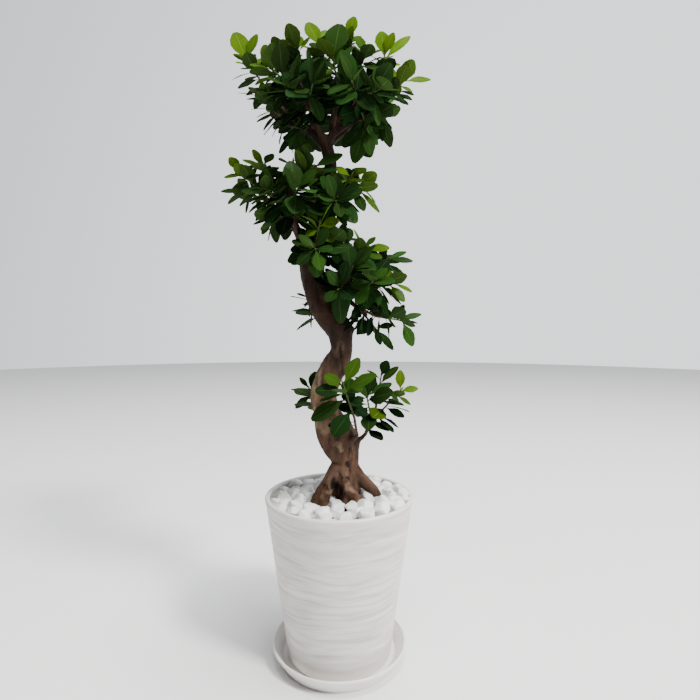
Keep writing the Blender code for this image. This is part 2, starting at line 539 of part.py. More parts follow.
def grow():
    """The woody routes and the leafy shoots, with every leaf clear of the wood and of every other leaf."""
    wood = [smooth_route(rows, ROUTE_STEP) for rows in [TRUNK, *STRANDS]]
    limbs = {tier: [smooth_route(rows, ROUTE_STEP) for rows in several] for tier, several in LIMBS.items()}
    wood += [route for several in limbs.values() for route in several]
    bare, woody = bare_twigs(limbs, wood)
    stems = {name: skin(stem, [STEM_RADIUS + SKIN] * len(stem)) for name, _, _, stem in bare}
    taken, shoots = [], []
    for name, tier, twig, stem in sorted(bare, key=lambda row: row[0] not in POSED):
        other_stems = tree_of([made for other, made in stems.items() if other != name])
        earlier, own, leaves = tree_of(taken), [], []
        for choices in all_choices(name, tier, stem):
            for leaf in choices:
                whole = tree_of([blade_envelope(leaf, -0.03)])
                if any(tree and tree.overlap(whole) for tree in (woody, other_stems, earlier)):
                    continue
                sister = tree_of(own)
                if sister and sister.overlap(tree_of([blade_envelope(leaf, 0.12)])):
                    continue
                leaves.append(leaf)
                own.append(blade_patch(leaf))
                break
        taken += own
        shoots.append(Shoot(name, tier, twig, stem, leaves))
    return wood, shoots


# From here on solids are made from that growth
part = bpy.data.collections.new("potted_banyan")
helpers = bpy.data.collections.new("cutters")
bpy.context.scene.collection.children.link(part)
bpy.context.scene.collection.children.link(helpers)


def material(name, colour, roughness):
    made = bpy.data.materials.new(name)
    made.use_nodes = True
    shader = made.node_tree.nodes["Principled BSDF"]
    shader.inputs["Base Color"].default_value = (*colour, 1)
    shader.inputs["Roughness"].default_value = roughness
    shader.inputs["Metallic"].default_value = 0.0
    return made


POT_WHITE = material("pot_white", (0.86, 0.85, 0.83), 0.45)
SAUCER_WHITE = material("saucer_white", (0.87, 0.86, 0.84), 0.30)
SOIL = material("potting_soil", (0.07, 0.045, 0.03), 0.95)
MARBLE = material("white_marble", (0.88, 0.88, 0.86), 0.6)
BARK = material("banyan_bark", (0.17, 0.11, 0.075), 0.85)
LEAF_GREEN = material("banyan_leaf", (0.05, 0.13, 0.03), 0.35)


def whole_body(mesh):
    """Welds a mesh, turns its faces outwards and keeps its largest piece, so no scrap or hollow is left."""
    bm = bmesh.new()
    bm.from_mesh(mesh)
    bmesh.ops.remove_doubles(bm, verts=bm.verts, dist=WELD)
    waiting, pieces = set(bm.verts), []
    while waiting:
        found = {waiting.pop()}
        edge = list(found)
        while edge:
            vert = edge.pop()
            for link in vert.link_edges:
                other = link.other_vert(vert)
                if other not in found:
                    found.add(other)
                    edge.append(other)
        waiting -= found
        pieces.append(found)
    largest = max(pieces, key=len)
    bmesh.ops.delete(bm, geom=[v for v in bm.verts if v not in largest], context="VERTS")
    bmesh.ops.recalc_face_normals(bm, faces=bm.faces)
    bm.to_mesh(mesh)
    bm.free()


def finish(obj, name, look, smooth=False):
    """Names a finished solid, gives it its material and puts it in the part."""
    whole_body(obj.data)
    obj.name = name
    obj.data.name = name
    obj.data.materials.clear()
    obj.data.materials.append(look)
    if smooth:
        obj.data.shade_smooth()
        obj.data.set_sharp_from_angle(angle=math.radians(35))
    part.objects.link(obj)


def baked(obj):
    """An object's evaluated mesh as a new object, with the old one removed."""
    bpy.context.view_layer.update()
    graph = bpy.context.evaluated_depsgraph_get()
    mesh = bpy.data.meshes.new_from_object(obj.evaluated_get(graph))
    made = bpy.data.objects.new(obj.name, mesh)
    made.matrix_world = obj.matrix_world
    bpy.data.objects.remove(obj)
    return made


def tube(points, radii, sides):
    """A tapering tube with closed ends and an even number of sides."""
    curve = bpy.data.curves.new("tube", "CURVE")
    curve.dimensions = "3D"
    curve.bevel_depth = 1.0
    curve.bevel_resolution = sides // 2 - 2
    curve.use_fill_caps = True
    spline = curve.splines.new("POLY")
    spline.points.add(len(points) - 1)
    for control, point, radius in zip(spline.points, points, radii):
        control.co = (*point, 1)
        control.radius = radius
    obj = bpy.data.objects.new("tube", curve)
    helpers.objects.link(obj)
    obj = baked(obj)
    whole_body(obj.data)
    return obj


def combined(obj, others, operation, solver="EXACT"):
    """An object joined with, or cut by, several others, which are then removed."""
    operands = bpy.data.collections.new("operands")
    bpy.context.scene.collection.children.link(operands)
    for other in others:
        other.hide_render = True
        other.display_type = "WIRE"
        operands.objects.link(other)
    helpers.objects.link(obj)
    modifier = obj.modifiers.new("combine", "BOOLEAN")
    modifier.operation = operation
    modifier.solver = solver
    modifier.operand_type = "COLLECTION"
    modifier.collection = operands
    made = baked(obj)
    for other in others:
        bpy.data.objects.remove(other)
    bpy.data.collections.remove(operands)
    return made


def turned(profile):
    """A body of revolution about Z. Its profile at +X runs down its outer side."""
    mesh = bpy.data.meshes.new("profile")
    mesh.from_pydata([(r, 0, z) for r, z in profile], [(k, k + 1) for k in range(len(profile) - 1)], [])
    obj = bpy.data.objects.new("turned", mesh)
    screw = obj.modifiers.new("turn", "SCREW")
    screw.steps = TURN_STEPS
    screw.render_steps = TURN_STEPS
    screw.use_merge_vertices = True
    screw.merge_threshold = 0.00001
    helpers.objects.link(obj)
    return baked(obj)


def pot_radius(z):
    """The pot's outer radius at a height over the table."""
    return FOOT_RADIUS + (RIM_RADIUS - FOOT_RADIUS) * (z - POT_BASE) / (RIM_HEIGHT - POT_BASE)


def make_saucer():
    rim = SAUCER_RADIUS
    profile = [
        (0, SAUCER_FLOOR), (SAUCER_FOOT - SAUCER_WALL, SAUCER_FLOOR), (SAUCER_FOOT, SAUCER_FLOOR + 0.003),
        (rim - SAUCER_WALL, SAUCER_HEIGHT - 0.0015), (rim - SAUCER_WALL / 2, SAUCER_HEIGHT),
        (rim, SAUCER_HEIGHT - 0.002), (rim - 0.002, SAUCER_HEIGHT - 0.006), (SAUCER_FOOT + 0.003, 0.0015),
        (SAUCER_FOOT, 0), (0, 0),
    ]
    finish(turned(profile), "saucer", SAUCER_WHITE, smooth=True)


def make_pot():
    """A tapered shell with a thick rounded lip, a rounded foot, and a drain hole in its raised floor."""
    lip_under = RIM_HEIGHT - LIP_DEPTH
    floor_top = POT_BASE + POT_FLOOR
    profile = [
        (DRAIN_RADIUS, POT_BASE + POT_RECESS), (DRAIN_RADIUS, floor_top),
        (pot_radius(floor_top) - POT_WALL, floor_top), (pot_radius(lip_under) - POT_WALL, lip_under),
        (RIM_RADIUS - LIP_WIDTH, RIM_HEIGHT - 0.003), (RIM_RADIUS - LIP_WIDTH + 0.003, RIM_HEIGHT),
        (RIM_RADIUS - 0.003, RIM_HEIGHT), (RIM_RADIUS, RIM_HEIGHT - 0.003),
        (pot_radius(POT_BASE + 0.008), POT_BASE + 0.008), (FOOT_RADIUS - 0.0015, POT_BASE + 0.002),
        (FOOT_RADIUS - 0.006, POT_BASE), (FOOT_RADIUS - 0.016, POT_BASE),
        (FOOT_RADIUS - 0.019, POT_BASE + POT_RECESS), (DRAIN_RADIUS, POT_BASE + POT_RECESS),
    ]
    finish(turned(profile), "pot", POT_WHITE, smooth=True)


def stock(extra):
    """The root stock under the trunk, or with extra the hole that it stands in."""
    points = [Vector((STOCK_X, 0, z)) for z in (STOCK_BOTTOM - extra, SOIL_TOP, STOCK_TOP)]
    radii = [STOCK_LOW_RADIUS + extra, STOCK_TOP_RADIUS - 0.003 + extra, STOCK_TOP_RADIUS - 0.001 + extra]
    return tube(points, radii, 10)


def make_soil():
    """Soil that fills the pot, a hair clear of its wall and floor."""
    low, high = POT_BASE + POT_FLOOR + GAP, SOIL_TOP
    inset = POT_WALL + 2 * GAP
    profile = [(0, high), (pot_radius(high) - inset, high), (pot_radius(low) - inset, low), (0, low)]
    finish(combined(turned(profile), [stock(2 * GAP)], "DIFFERENCE"), "soil", SOIL)


def widened(route, extra):
    """A route's tube, or with extra a hollow that is larger all round and at both ends."""
    points = [point for point, _ in route]
    points[0] = points[0] + (points[0] - points[1]).normalized() * extra
    points[-1] = points[-1] + (points[-1] - points[-2]).normalized() * extra
    return tube(points, [radius + extra for _, radius in route], 6 if route[0][1] < 0.02 else 10)


def pebble(rng, place, size):
    """One stone: a coarse ball that is flattened, knocked out of true, tilted and turned."""
    bm = bmesh.new()
    bmesh.ops.create_icosphere(bm, subdivisions=1, radius=size)
    for vert in bm.verts:
        vert.co *= rng.uniform(0.84, 1.12)
    bmesh.ops.scale(bm, verts=bm.verts, vec=(1, 0.82, 0.74))
    bmesh.ops.rotate(bm, verts=bm.verts, matrix=Matrix.Rotation(rng.uniform(-0.4, 0.4), 3, "X"))
    bmesh.ops.rotate(bm, verts=bm.verts, matrix=Matrix.Rotation(rng.uniform(0, math.tau), 3, "Z"))
    bmesh.ops.translate(bm, verts=bm.verts, vec=place)
    mesh = bpy.data.meshes.new("pebble")
    bm.to_mesh(mesh)
    bm.free()
    return bpy.data.objects.new("pebble", mesh)


def make_pebbles():
    """A bed of stones laid outwards in a sunflower's spiral, with room for the trunk and its roots."""
    rng = random.Random(PEBBLE_SEED)
    low, high = SOIL_TOP + GAP, BED_TOP
    inset = POT_WALL + 3 * GAP
    profile = [(0, high), (pot_radius(high) - inset, high), (pot_radius(low) - inset, low), (0, low)]
    stones = []
    for k in range(PEBBLE_COUNT):
        reach = BED_REACH * math.sqrt((k + 0.5) / PEBBLE_COUNT)
        place = Vector((reach * math.cos(GOLDEN_ANGLE * k), reach * math.sin(GOLDEN_ANGLE * k), 0))
        size = PEBBLE_SIZE * rng.uniform(0.82, 1.1)
        place.z = BED_TOP + rng.uniform(0.001, 0.005)
        if math.hypot(place.x - STOCK_X, place.y) > STOCK_TOP_RADIUS + 0.004:
            stones.append(pebble(rng, place, size))
    bed = combined(turned(profile), stones, "UNION")
    hollows = [widened(smooth_route(rows, ROUTE_STEP), 2 * GAP) for rows in [TRUNK[:4], *ROOTS]]
    finish(combined(bed, [*hollows, stock(2 * GAP)], "DIFFERENCE"), "pebbles", MARBLE)


def make_wood(wood, shoots):
    """Root stock, roots, trunk, limbs and woody twigs grown together as one body."""
    trunk, *tubes = [
        tube([p for p, _ in route], [r for _, r in route], sides)
        for route, sides in zip(wood, [10, *(4 if route[0][1] < THIN_LIMB else 6 for route in wood[1:])])
    ]
    tubes += [widened(smooth_route(rows, ROUTE_STEP), 0) for rows in ROOTS]
    tubes += [tube(shoot.twig, [TWIG_RADIUS] * len(shoot.twig), 4) for shoot in shoots]
    finish(combined(trunk, [*tubes, stock(0)], "UNION", "MANIFOLD"), "wood", BARK)


def blade(leaf):
    """A folded, arched blade of even thickness, split into the same triangles on both its faces."""
    bm = bmesh.new()
    edge = [bm.verts.new(blade_point(leaf, *place, BLADE_THICKNESS / 2)) for place in BLADE_EDGE]
    upper = [bm.faces.new([edge[k] for k in corners]) for corners in BLADE_FACES]
    made = bmesh.ops.extrude_face_region(bm, geom=upper)["geom"]
    lower = [item for item in made if isinstance(item, bmesh.types.BMVert)]
    bmesh.ops.translate(bm, verts=lower, vec=-leaf.face * BLADE_THICKNESS)
    bmesh.ops.recalc_face_normals(bm, faces=bm.faces)
    mesh = bpy.data.meshes.new("blade")
    bm.to_mesh(mesh)
    bm.free()
    return bpy.data.objects.new("blade", mesh)


def make_shoot(shoot):
    """A green stem that butts on its twig, with its leaves."""
    stem = tube(shoot.stem, [STEM_RADIUS] * len(shoot.stem), 4)
    blades = [blade(leaf) for leaf in shoot.leaves]
    finish(combined(stem, blades, "UNION", "MANIFOLD"), shoot.name, LEAF_GREEN)


wood_routes, all_shoots = grow()
make_saucer()
make_pot()
make_soil()
make_pebbles()
make_wood(wood_routes, all_shoots)
for one_shoot in all_shoots:
    make_shoot(one_shoot)
bpy.data.collections.remove(helpers)
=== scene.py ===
# %% [markdown]
# # Potted Chinese banyan
#
# A Chinese banyan is a fig tree with small glossy leaves. This one grows as an S-curved trunk with four
# tiers of foliage, in a tapered white pot that stands on its saucer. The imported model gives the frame:
# every solid at its true size and place. This notebook dresses that frame. It builds finer pieces where the
# solids are plain, and gives every surface the finish of the real thing.

import math
import random
from collections import namedtuple

import bmesh
import bpy
from mathutils import Matrix, Vector, noise
from mathutils.bvhtree import BVHTree
from mathutils.geometry import intersect_point_line
from mathutils.kdtree import KDTree


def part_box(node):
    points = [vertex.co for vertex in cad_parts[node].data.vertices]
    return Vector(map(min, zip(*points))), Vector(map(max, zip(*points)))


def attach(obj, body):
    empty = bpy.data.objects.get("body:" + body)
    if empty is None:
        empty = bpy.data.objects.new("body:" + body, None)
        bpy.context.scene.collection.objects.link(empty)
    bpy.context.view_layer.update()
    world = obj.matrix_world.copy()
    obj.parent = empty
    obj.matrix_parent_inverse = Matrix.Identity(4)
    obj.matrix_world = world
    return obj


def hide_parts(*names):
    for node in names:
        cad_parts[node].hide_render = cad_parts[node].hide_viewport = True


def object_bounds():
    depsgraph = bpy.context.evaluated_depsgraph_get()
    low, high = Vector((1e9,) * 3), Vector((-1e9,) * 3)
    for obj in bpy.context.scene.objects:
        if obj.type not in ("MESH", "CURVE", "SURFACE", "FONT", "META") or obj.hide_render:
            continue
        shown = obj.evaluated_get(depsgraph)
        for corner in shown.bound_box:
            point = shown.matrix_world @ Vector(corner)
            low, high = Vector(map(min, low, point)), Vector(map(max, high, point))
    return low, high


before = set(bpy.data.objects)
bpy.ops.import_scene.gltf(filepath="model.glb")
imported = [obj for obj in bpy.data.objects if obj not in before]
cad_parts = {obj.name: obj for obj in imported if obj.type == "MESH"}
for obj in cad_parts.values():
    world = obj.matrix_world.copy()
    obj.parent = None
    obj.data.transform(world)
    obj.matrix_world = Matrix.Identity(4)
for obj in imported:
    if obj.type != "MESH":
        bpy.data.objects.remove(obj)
cad_low, cad_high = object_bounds()
print("nodes", len(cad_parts), "box", [round(c, 3) for c in (*cad_low, *cad_high)])

# %% [markdown]
# ## Sizes that the frame already holds
#
# The pot and the saucer are bodies of revolution about Z, so half the width of a node's box is its radius.
# All other sizes of the pot follow from these and from wall thicknesses that such a moulded pot has.

# %% Read the pot's and the saucer's sizes
pot_low, pot_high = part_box("pot")
saucer_low, saucer_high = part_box("saucer")
soil_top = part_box("soil")[1].z
RIM_RADIUS = (pot_high.x - pot_low.x) / 2
RIM_HEIGHT = pot_high.z
POT_BASE = pot_low.z
SAUCER_RADIUS = (saucer_high.x - saucer_low.x) / 2
SAUCER_HEIGHT = saucer_high.z
FOOT_RADIUS = 0.105
POT_WALL = 0.0055
LIP_WIDTH = 0.0095
LIP_DEPTH = 0.012
POT_FLOOR = 0.007
POT_RECESS = 0.003
DRAIN_RADIUS = 0.012
SAUCER_FOOT = 0.118
SAUCER_FLOOR = 0.0065
SAUCER_WALL = 0.005
print("rim radius", round(RIM_RADIUS, 4), "rim height", round(RIM_HEIGHT, 4), "soil top", round(soil_top, 4))

# %% [markdown]
# ## Small helpers
#
# Colours are picked as sRGB hex values, as one reads them off a screen, and a shader wants linear light, so
# one function turns them. The next ones add shader nodes: a mix, a range, some maths, noise and a fine
# relief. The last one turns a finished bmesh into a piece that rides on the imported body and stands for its
# plain solids.

# %% Colour, node and piece helpers
def linear(hex_colour):
    """A linear RGBA colour from an sRGB hex value."""
    made = []
    for k in (0, 2, 4):
        c = int(hex_colour[k:k + 2], 16) / 255
        made.append(c / 12.92 if c <= 0.04045 else ((c + 0.055) / 1.055) ** 2.4)
    return (*made, 1)


def add_node(tree, kind, inputs=None, **settings):
    """Adds a shader node. Each input is a value or the socket that feeds it."""
    made = tree.nodes.new(kind)
    for name, value in settings.items():
        setattr(made, name, value)
    for name, value in (inputs or {}).items():
        if isinstance(value, bpy.types.NodeSocket):
            tree.links.new(value, made.inputs[name])
        else:
            made.inputs[name].default_value = value
    return made


def new_material(name, **sockets):
    """A material whose Principled shader has these values, with its tree and its shader."""
    made = bpy.data.materials.new(name)
    made.use_nodes = True
    shader = made.node_tree.nodes["Principled BSDF"]
    for socket, value in sockets.items():
        shader.inputs[socket.replace("_", " ")].default_value = value
    return made, made.node_tree, shader


def mix(tree, factor, first, second):
    """A colour between two, each a socket or a linear colour."""
    made = add_node(tree, "ShaderNodeMix", {"Factor": factor}, data_type="RGBA")
    for socket, value in ((made.inputs[6], first), (made.inputs[7], second)):
        if isinstance(value, bpy.types.NodeSocket):
            tree.links.new(value, socket)
        else:
            socket.default_value = value
    return made.outputs[2]


def ramp(tree, value, low, high, to_low=0.0, to_high=1.0):
    """A value from one range spread over another, and held at its ends."""
    inputs = {"Value": value, "From Min": low, "From Max": high, "To Min": to_low, "To Max": to_high}
    return add_node(tree, "ShaderNodeMapRange", inputs).outputs["Result"]
def maths(tree, operation, *values):
    """The result of a math node on values or sockets."""
    return add_node(tree, "ShaderNodeMath", dict(enumerate(values)), operation=operation).outputs[0]


def attribute(tree, name, output="Color"):
    """What the mesh attribute of this name holds."""
    return add_node(tree, "ShaderNodeAttribute", attribute_name=name).outputs[output]


def object_place(tree, *scale):
    """Object coordinates in metres, stretched if a scale along X, Y and Z is given."""
    place = add_node(tree, "ShaderNodeTexCoord").outputs["Object"]
    if scale:
        place = add_node(tree, "ShaderNodeMapping", {"Vector": place, "Scale": scale}).outputs[0]
    return place


def soft_noise(tree, place, scale, detail):
    """Noise from 0 to 1, with about so many blotches a metre as the scale says."""
    inputs = {"Vector": place, "Scale": scale, "Detail": detail}
    return add_node(tree, "ShaderNodeTexNoise", inputs).outputs[0]


def cell_noise(tree, place, scale):
    """The distance to the middle of the nearest cell, with about scale cells a metre."""
    return add_node(tree, "ShaderNodeTexVoronoi", {"Vector": place, "Scale": scale}).outputs[0]


def finish_shader(tree, shader, colour, height, strength, depth):
    """Gives a shader its colour and a fine relief, depth metres deep."""
    inputs = {"Height": height, "Strength": strength, "Distance": depth}
    tree.links.new(colour, shader.inputs["Base Color"])
    tree.links.new(add_node(tree, "ShaderNodeBump", inputs).outputs[0], shader.inputs["Normal"])


def new_piece(name, bm, materials, nodes, smooth_angle=40):
    """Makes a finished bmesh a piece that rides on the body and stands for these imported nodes."""
    mesh = bpy.data.meshes.new(name)
    bm.to_mesh(mesh)
    bm.free()
    piece = bpy.data.objects.new(name, mesh)
    bpy.context.scene.collection.objects.link(piece)
    for look in materials:
        mesh.materials.append(look)
    mesh.shade_smooth()
    mesh.set_sharp_from_angle(angle=math.radians(smooth_angle))
    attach(piece, "root")
    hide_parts(*nodes)
    print(name, "faces", len(mesh.polygons))


# %% [markdown]
# ## The view and the light
#
# The photograph was taken from a metre away, slightly above the middle of the tree and tilted two and a
# half degrees down. A focal length of 25.5 mm on a 36 mm sensor gives its wide framing. The light is soft.
# A small, slightly warm key light stands high in front, to the right, and a broader white one hangs above
# the pot, so what faces up is almost white and the pot's wall is grey. The surround is a pale sweep: bright
# behind the tree and to its right, and dim behind the camera, which keeps the leaves dark against it.

# %% Place the camera and the lights
CAMERA_PLACE = Vector((0.022, -1.0, 0.669))
CAMERA_DOWN = math.radians(2.5)
CAMERA_LENS = 25.457
SENSOR_WIDTH = 36
KEY_WATTS = 500
TOP_WATTS = 520
WARM_WHITE = (1.0, 0.985, 0.96)
WHITE = (1.0, 1.0, 1.0)
SKY_WHITE = (0.95, 0.97, 1.0, 1)
BRIGHT_SIDE = (0.50, 0.86, -0.10)
DIM_FROM, BRIGHT_FROM = -0.45, 0.8
DIM_LIGHT, BRIGHT_LIGHT = 0.10, 1.6

camera = bpy.data.objects.new("camera", bpy.data.cameras.new("camera"))
camera.data.lens = CAMERA_LENS
camera.data.sensor_width = SENSOR_WIDTH
camera.location = CAMERA_PLACE
camera.rotation_euler = (math.pi / 2 - CAMERA_DOWN, 0, 0)
bpy.context.scene.collection.objects.link(camera)
bpy.context.scene.camera = camera


def panel(name, place, target, width, watts, tint):
    """A square soft light that faces a target."""
    data = bpy.data.lights.new(name, "AREA")
    data.size = width
    data.energy = watts
    data.color = tint
    lamp = bpy.data.objects.new(name, data)
    lamp.location = place
    lamp.rotation_euler = (Vector(target) - Vector(place)).to_track_quat("-Z", "Y").to_euler()
    bpy.context.scene.collection.objects.link(lamp)


panel("key_light", (3.2, -2.6, 4.6), (0, 0, 0.45), 1.0, KEY_WATTS, WARM_WHITE)
panel("top_light", (0.4, -0.4, 6.6), (0, 0, 0.5), 2.0, TOP_WATTS, WHITE)

world = bpy.data.worlds.new("studio")
world.use_nodes = True
tree = world.node_tree
direction = add_node(tree, "ShaderNodeTexCoord").outputs["Generated"]
toward = add_node(tree, "ShaderNodeVectorMath", {0: direction, 1: BRIGHT_SIDE}, operation="DOT_PRODUCT")
strength = ramp(tree, toward.outputs["Value"], DIM_FROM, BRIGHT_FROM, DIM_LIGHT, BRIGHT_LIGHT)
surround = tree.nodes["Background"]
surround.inputs["Color"].default_value = SKY_WHITE
tree.links.new(strength, surround.inputs["Strength"])
bpy.context.scene.world = world
print("camera at", list(camera.location))

# %% [markdown]
# ## The floor
#
# A round pale floor large enough that its edge lies far behind the tree in every view. It is part of the
# studio and not of the object.

# %% Floor
FLOOR_RADIUS = 9.0
FLOOR_SIDES = 96

floor_bm = bmesh.new()
bmesh.ops.create_circle(floor_bm, cap_ends=True, segments=FLOOR_SIDES, radius=FLOOR_RADIUS)
floor_mesh = bpy.data.meshes.new("floor")
floor_bm.to_mesh(floor_mesh)
floor_bm.free()
floor = bpy.data.objects.new("floor", floor_mesh)
bpy.context.scene.collection.objects.link(floor)
floor_paint, _, _ = new_material("matt_floor_paint", Base_Color=linear("EDEDEC"), Roughness=0.8)
floor_mesh.materials.append(floor_paint)
print("floor radius", FLOOR_RADIUS)

# %% [markdown]
# ## Pot material: moulded matt polypropylene
#
# The pot is injection moulded in white plastic, and its mould was cut to look like brushed clay. Plastic of
# this kind has an IOR near 1.5. A matt mould leaves a broad, soft shine. The brush marks are real relief
# and are made in the mesh below. The shader adds what is finer: hair-fine strokes about 1 mm tall, broad
# ones of a slightly darker white, and grey painted shade in the grooves. How deep a point lies in a groove
# is read from a mesh attribute.

# %% Pot material
PLASTIC_IOR = 1.5
BROAD_STROKES = (8, 8, 90)
FINE_STROKES = (30, 30, 900)
# The grey painted into the grooves as painted shade, and the most of it
GROOVE_PAINTED_SHADE = "B4B0AB"
GROOVE_SHADE_MOST = 0.75


def moulded_plastic(name, light, shade, roughness, stroke_depth):
    """White moulded plastic with fine strokes round it, and grey painted shade in its grooves."""
    look, tree, shader = new_material(name, Roughness=roughness, IOR=PLASTIC_IOR)
    broad = soft_noise(tree, object_place(tree, *BROAD_STROKES), 1, 3)
    fine = soft_noise(tree, object_place(tree, *FINE_STROKES), 1, 2)
    body = mix(tree, ramp(tree, broad, 0.35, 0.7), linear(shade), linear(light))
    # Painted shade: the deeper a point lies in a groove, the greyer it is painted
    dust = ramp(tree, attribute(tree, "groove", "Fac"), 0.0, 1.0, 0.0, GROOVE_SHADE_MOST)
    finish_shader(tree, shader, mix(tree, dust, body, linear(GROOVE_PAINTED_SHADE)), fine, 0.5, stroke_depth)
    return look


POT_PLASTIC = moulded_plastic("matt_polypropylene", "EAE7E3", "D9D5D0", 0.42, 0.0006)
SAUCER_PLASTIC = moulded_plastic("satin_polypropylene", "F1EEEA", "EAE6E1", 0.25, 0.00006)
print("pot materials made")

# %% [markdown]
# ## Pot
#
# A pot is a body of revolution, so half its section is drawn once and spun round Z. The section runs from
# the drain hole, over the inner floor, up the inside, over the rounded lip and down the outside to the foot
# and the recess under it. The rows on the outside are close together, because the brushed relief is then
# pressed into the mesh: long shallow grooves, 5 to 10 mm tall, that wander up and down as a brush does.

# %% Spin a section round Z
TURN_STEPS = 200
WELD = 0.00001

def arc(centre_r, centre_z, radius, start, end, steps):
    """Points on an arc in the section's plane, angles in degrees."""
    made = []
    for k in range(steps + 1):
        a = math.radians(start + (end - start) * k / steps)
        made.append((centre_r + radius * math.cos(a), centre_z + radius * math.sin(a)))
    return made


def run(start, end, spacing):
    """Points from start up to, and without, end."""
    steps = max(1, round(math.dist(start, end) / spacing))
    return [tuple(a + (b - a) * k / steps for a, b in zip(start, end)) for k in range(steps)]


def spun(section, closed):
    """A bmesh of a section turned round Z, its faces outwards."""
    bm = bmesh.new()
    verts = [bm.verts.new((r, 0, z)) for r, z in section]
    edges = [bm.edges.new(pair) for pair in zip(verts, verts[1:])]
    if closed:
        edges.append(bm.edges.new((verts[-1], verts[0])))
    bmesh.ops.spin(bm, geom=verts + edges, cent=(0, 0, 0), axis=(0, 0, 1), dvec=(0, 0, 0), angle=math.tau,
                   steps=TURN_STEPS, use_merge=True)
    bmesh.ops.remove_doubles(bm, verts=bm.verts, dist=WELD)
    bmesh.ops.recalc_face_normals(bm, faces=bm.faces)
    return bm


def pot_radius(z):
    """The pot's outer radius at a height."""
    return FOOT_RADIUS + (RIM_RADIUS - FOOT_RADIUS) * (z - POT_BASE) / (RIM_HEIGHT - POT_BASE)


# %% Pot with its brushed relief
RELIEF_DEPTH = 0.0016
RELIEF_FADE = 0.022
RELIEF_LEVEL = 0.4
SMOOTH_FOOT = 0.036
SMOOTH_LIP = 0.004
GROOVE_START = 0.25
GROOVE_GAIN = 1.6
LIP_ROUND = 0.0035
LIP_EDGE = 0.006
FOOT_ROUND = 0.006
FOOT_RING = 0.016
RECESS_EDGE = 0.019
INNER_STEP = 0.01
OUTER_STEP = 0.0016
HAIR = 0.0004
WANDER = 0.020
# Each set of strokes: its weight, how many a metre round the pot and up it, and a shift of its noise
STROKES = [(0.45, 9, 95, 0), (0.36, 16, 210, 3), (0.24, 34, 330, 7)]

floor_z = POT_BASE + POT_FLOOR
lip_z = RIM_HEIGHT - LIP_DEPTH
foot_z = POT_BASE + FOOT_ROUND
round_z = RIM_HEIGHT - LIP_ROUND
section = [(DRAIN_RADIUS, POT_BASE + POT_RECESS), (DRAIN_RADIUS, floor_z)]
section += run((pot_radius(floor_z) - POT_WALL, floor_z), (pot_radius(lip_z) - POT_WALL, lip_z), INNER_STEP)
section += [(pot_radius(lip_z) - POT_WALL, lip_z)]
section += arc(RIM_RADIUS - LIP_WIDTH + LIP_ROUND, round_z, LIP_ROUND, 180, 90, 6)
section += arc(RIM_RADIUS - LIP_ROUND, round_z, LIP_ROUND, 90, 0, 6)
section += run((RIM_RADIUS - HAIR, RIM_HEIGHT - LIP_EDGE), (pot_radius(foot_z), foot_z), OUTER_STEP)
section += arc(pot_radius(foot_z) - FOOT_ROUND, foot_z, FOOT_ROUND, 0, -90, 6)
section += [(FOOT_RADIUS - FOOT_RING, POT_BASE), (FOOT_RADIUS - RECESS_EDGE, POT_BASE + POT_RECESS)]
pot_bm = spun(section, closed=True)


def brushed(point):
    """How deep the brush went at a point of the pot's outside, from -1 to 1."""
    slant = point.z + WANDER * noise.noise(Vector((point.x * 7, point.y * 7, point.z * 6)))
    return sum(
        weight * noise.noise(Vector((point.x * around + shift, point.y * around, slant * up)))
        for weight, around, up, shift in STROKES
    )


# How deep a point lies in a groove, which sets the grey painted shade there
groove_layer = pot_bm.verts.layers.float.new("groove")
for vert in pot_bm.verts:
    radius = math.hypot(vert.co.x, vert.co.y)
    if radius > pot_radius(vert.co.z) - 0.001 and foot_z < vert.co.z < RIM_HEIGHT - SMOOTH_LIP:
        fade = min(1, max(0, vert.co.z - SMOOTH_FOOT) / RELIEF_FADE, (RIM_HEIGHT - vert.co.z) / RELIEF_FADE)
        stroke = brushed(vert.co)
        vert[groove_layer] = min(1.0, max(0.0, GROOVE_START - GROOVE_GAIN * stroke)) * fade
        change = RELIEF_DEPTH * (stroke - RELIEF_LEVEL) * fade
        vert.co.x *= 1 + change / radius
        vert.co.y *= 1 + change / radius
new_piece("brushed_pot", pot_bm, [POT_PLASTIC], ["pot"])

# %% [markdown]
# ## Saucer
#
# The saucer is spun too. It has a flat floor and foot, a rounded corner, a wall that leans out, and a thin
# rounded edge. Its plastic is smoother than the pot's, and no brush went over it.

# %% Saucer
CORNER_ROUND = 0.006
HEEL_ROUND = 0.0035

edge_round = SAUCER_WALL / 2
edge_r = SAUCER_RADIUS - edge_round
edge_z = SAUCER_HEIGHT - edge_round
section = [(0.0, SAUCER_FLOOR)]
section += run((0.02, SAUCER_FLOOR), (SAUCER_FOOT - 0.008, SAUCER_FLOOR), 0.012)
section += arc(SAUCER_FOOT - CORNER_ROUND, SAUCER_FLOOR + CORNER_ROUND, CORNER_ROUND, -90, -35, 5)
section += run((SAUCER_FOOT + HAIR, SAUCER_FLOOR + 0.0055), (edge_r - edge_round, edge_z), 0.005)
section += arc(edge_r, edge_z, edge_round, 180, -10, 9)
section += run((SAUCER_RADIUS - HAIR, edge_z - 0.002), (SAUCER_FOOT + HEEL_ROUND, HEEL_ROUND), 0.004)
section += arc(SAUCER_FOOT, HEEL_ROUND, HEEL_ROUND, 0, -90, 5)
section += [(SAUCER_FOOT - 0.03, 0.0), (0.0, 0.0)]
new_piece("spun_saucer", spun(section, closed=False), [SAUCER_PLASTIC], ["saucer"])

# %% [markdown]
# ## Soil
#
# Potting mix is bark fibre, peat and a little clay. It shows only in the dark gaps between stones, so the
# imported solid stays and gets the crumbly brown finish: a cell pattern of crumbs 3 mm across, over soft
# patches of light and dark brown.

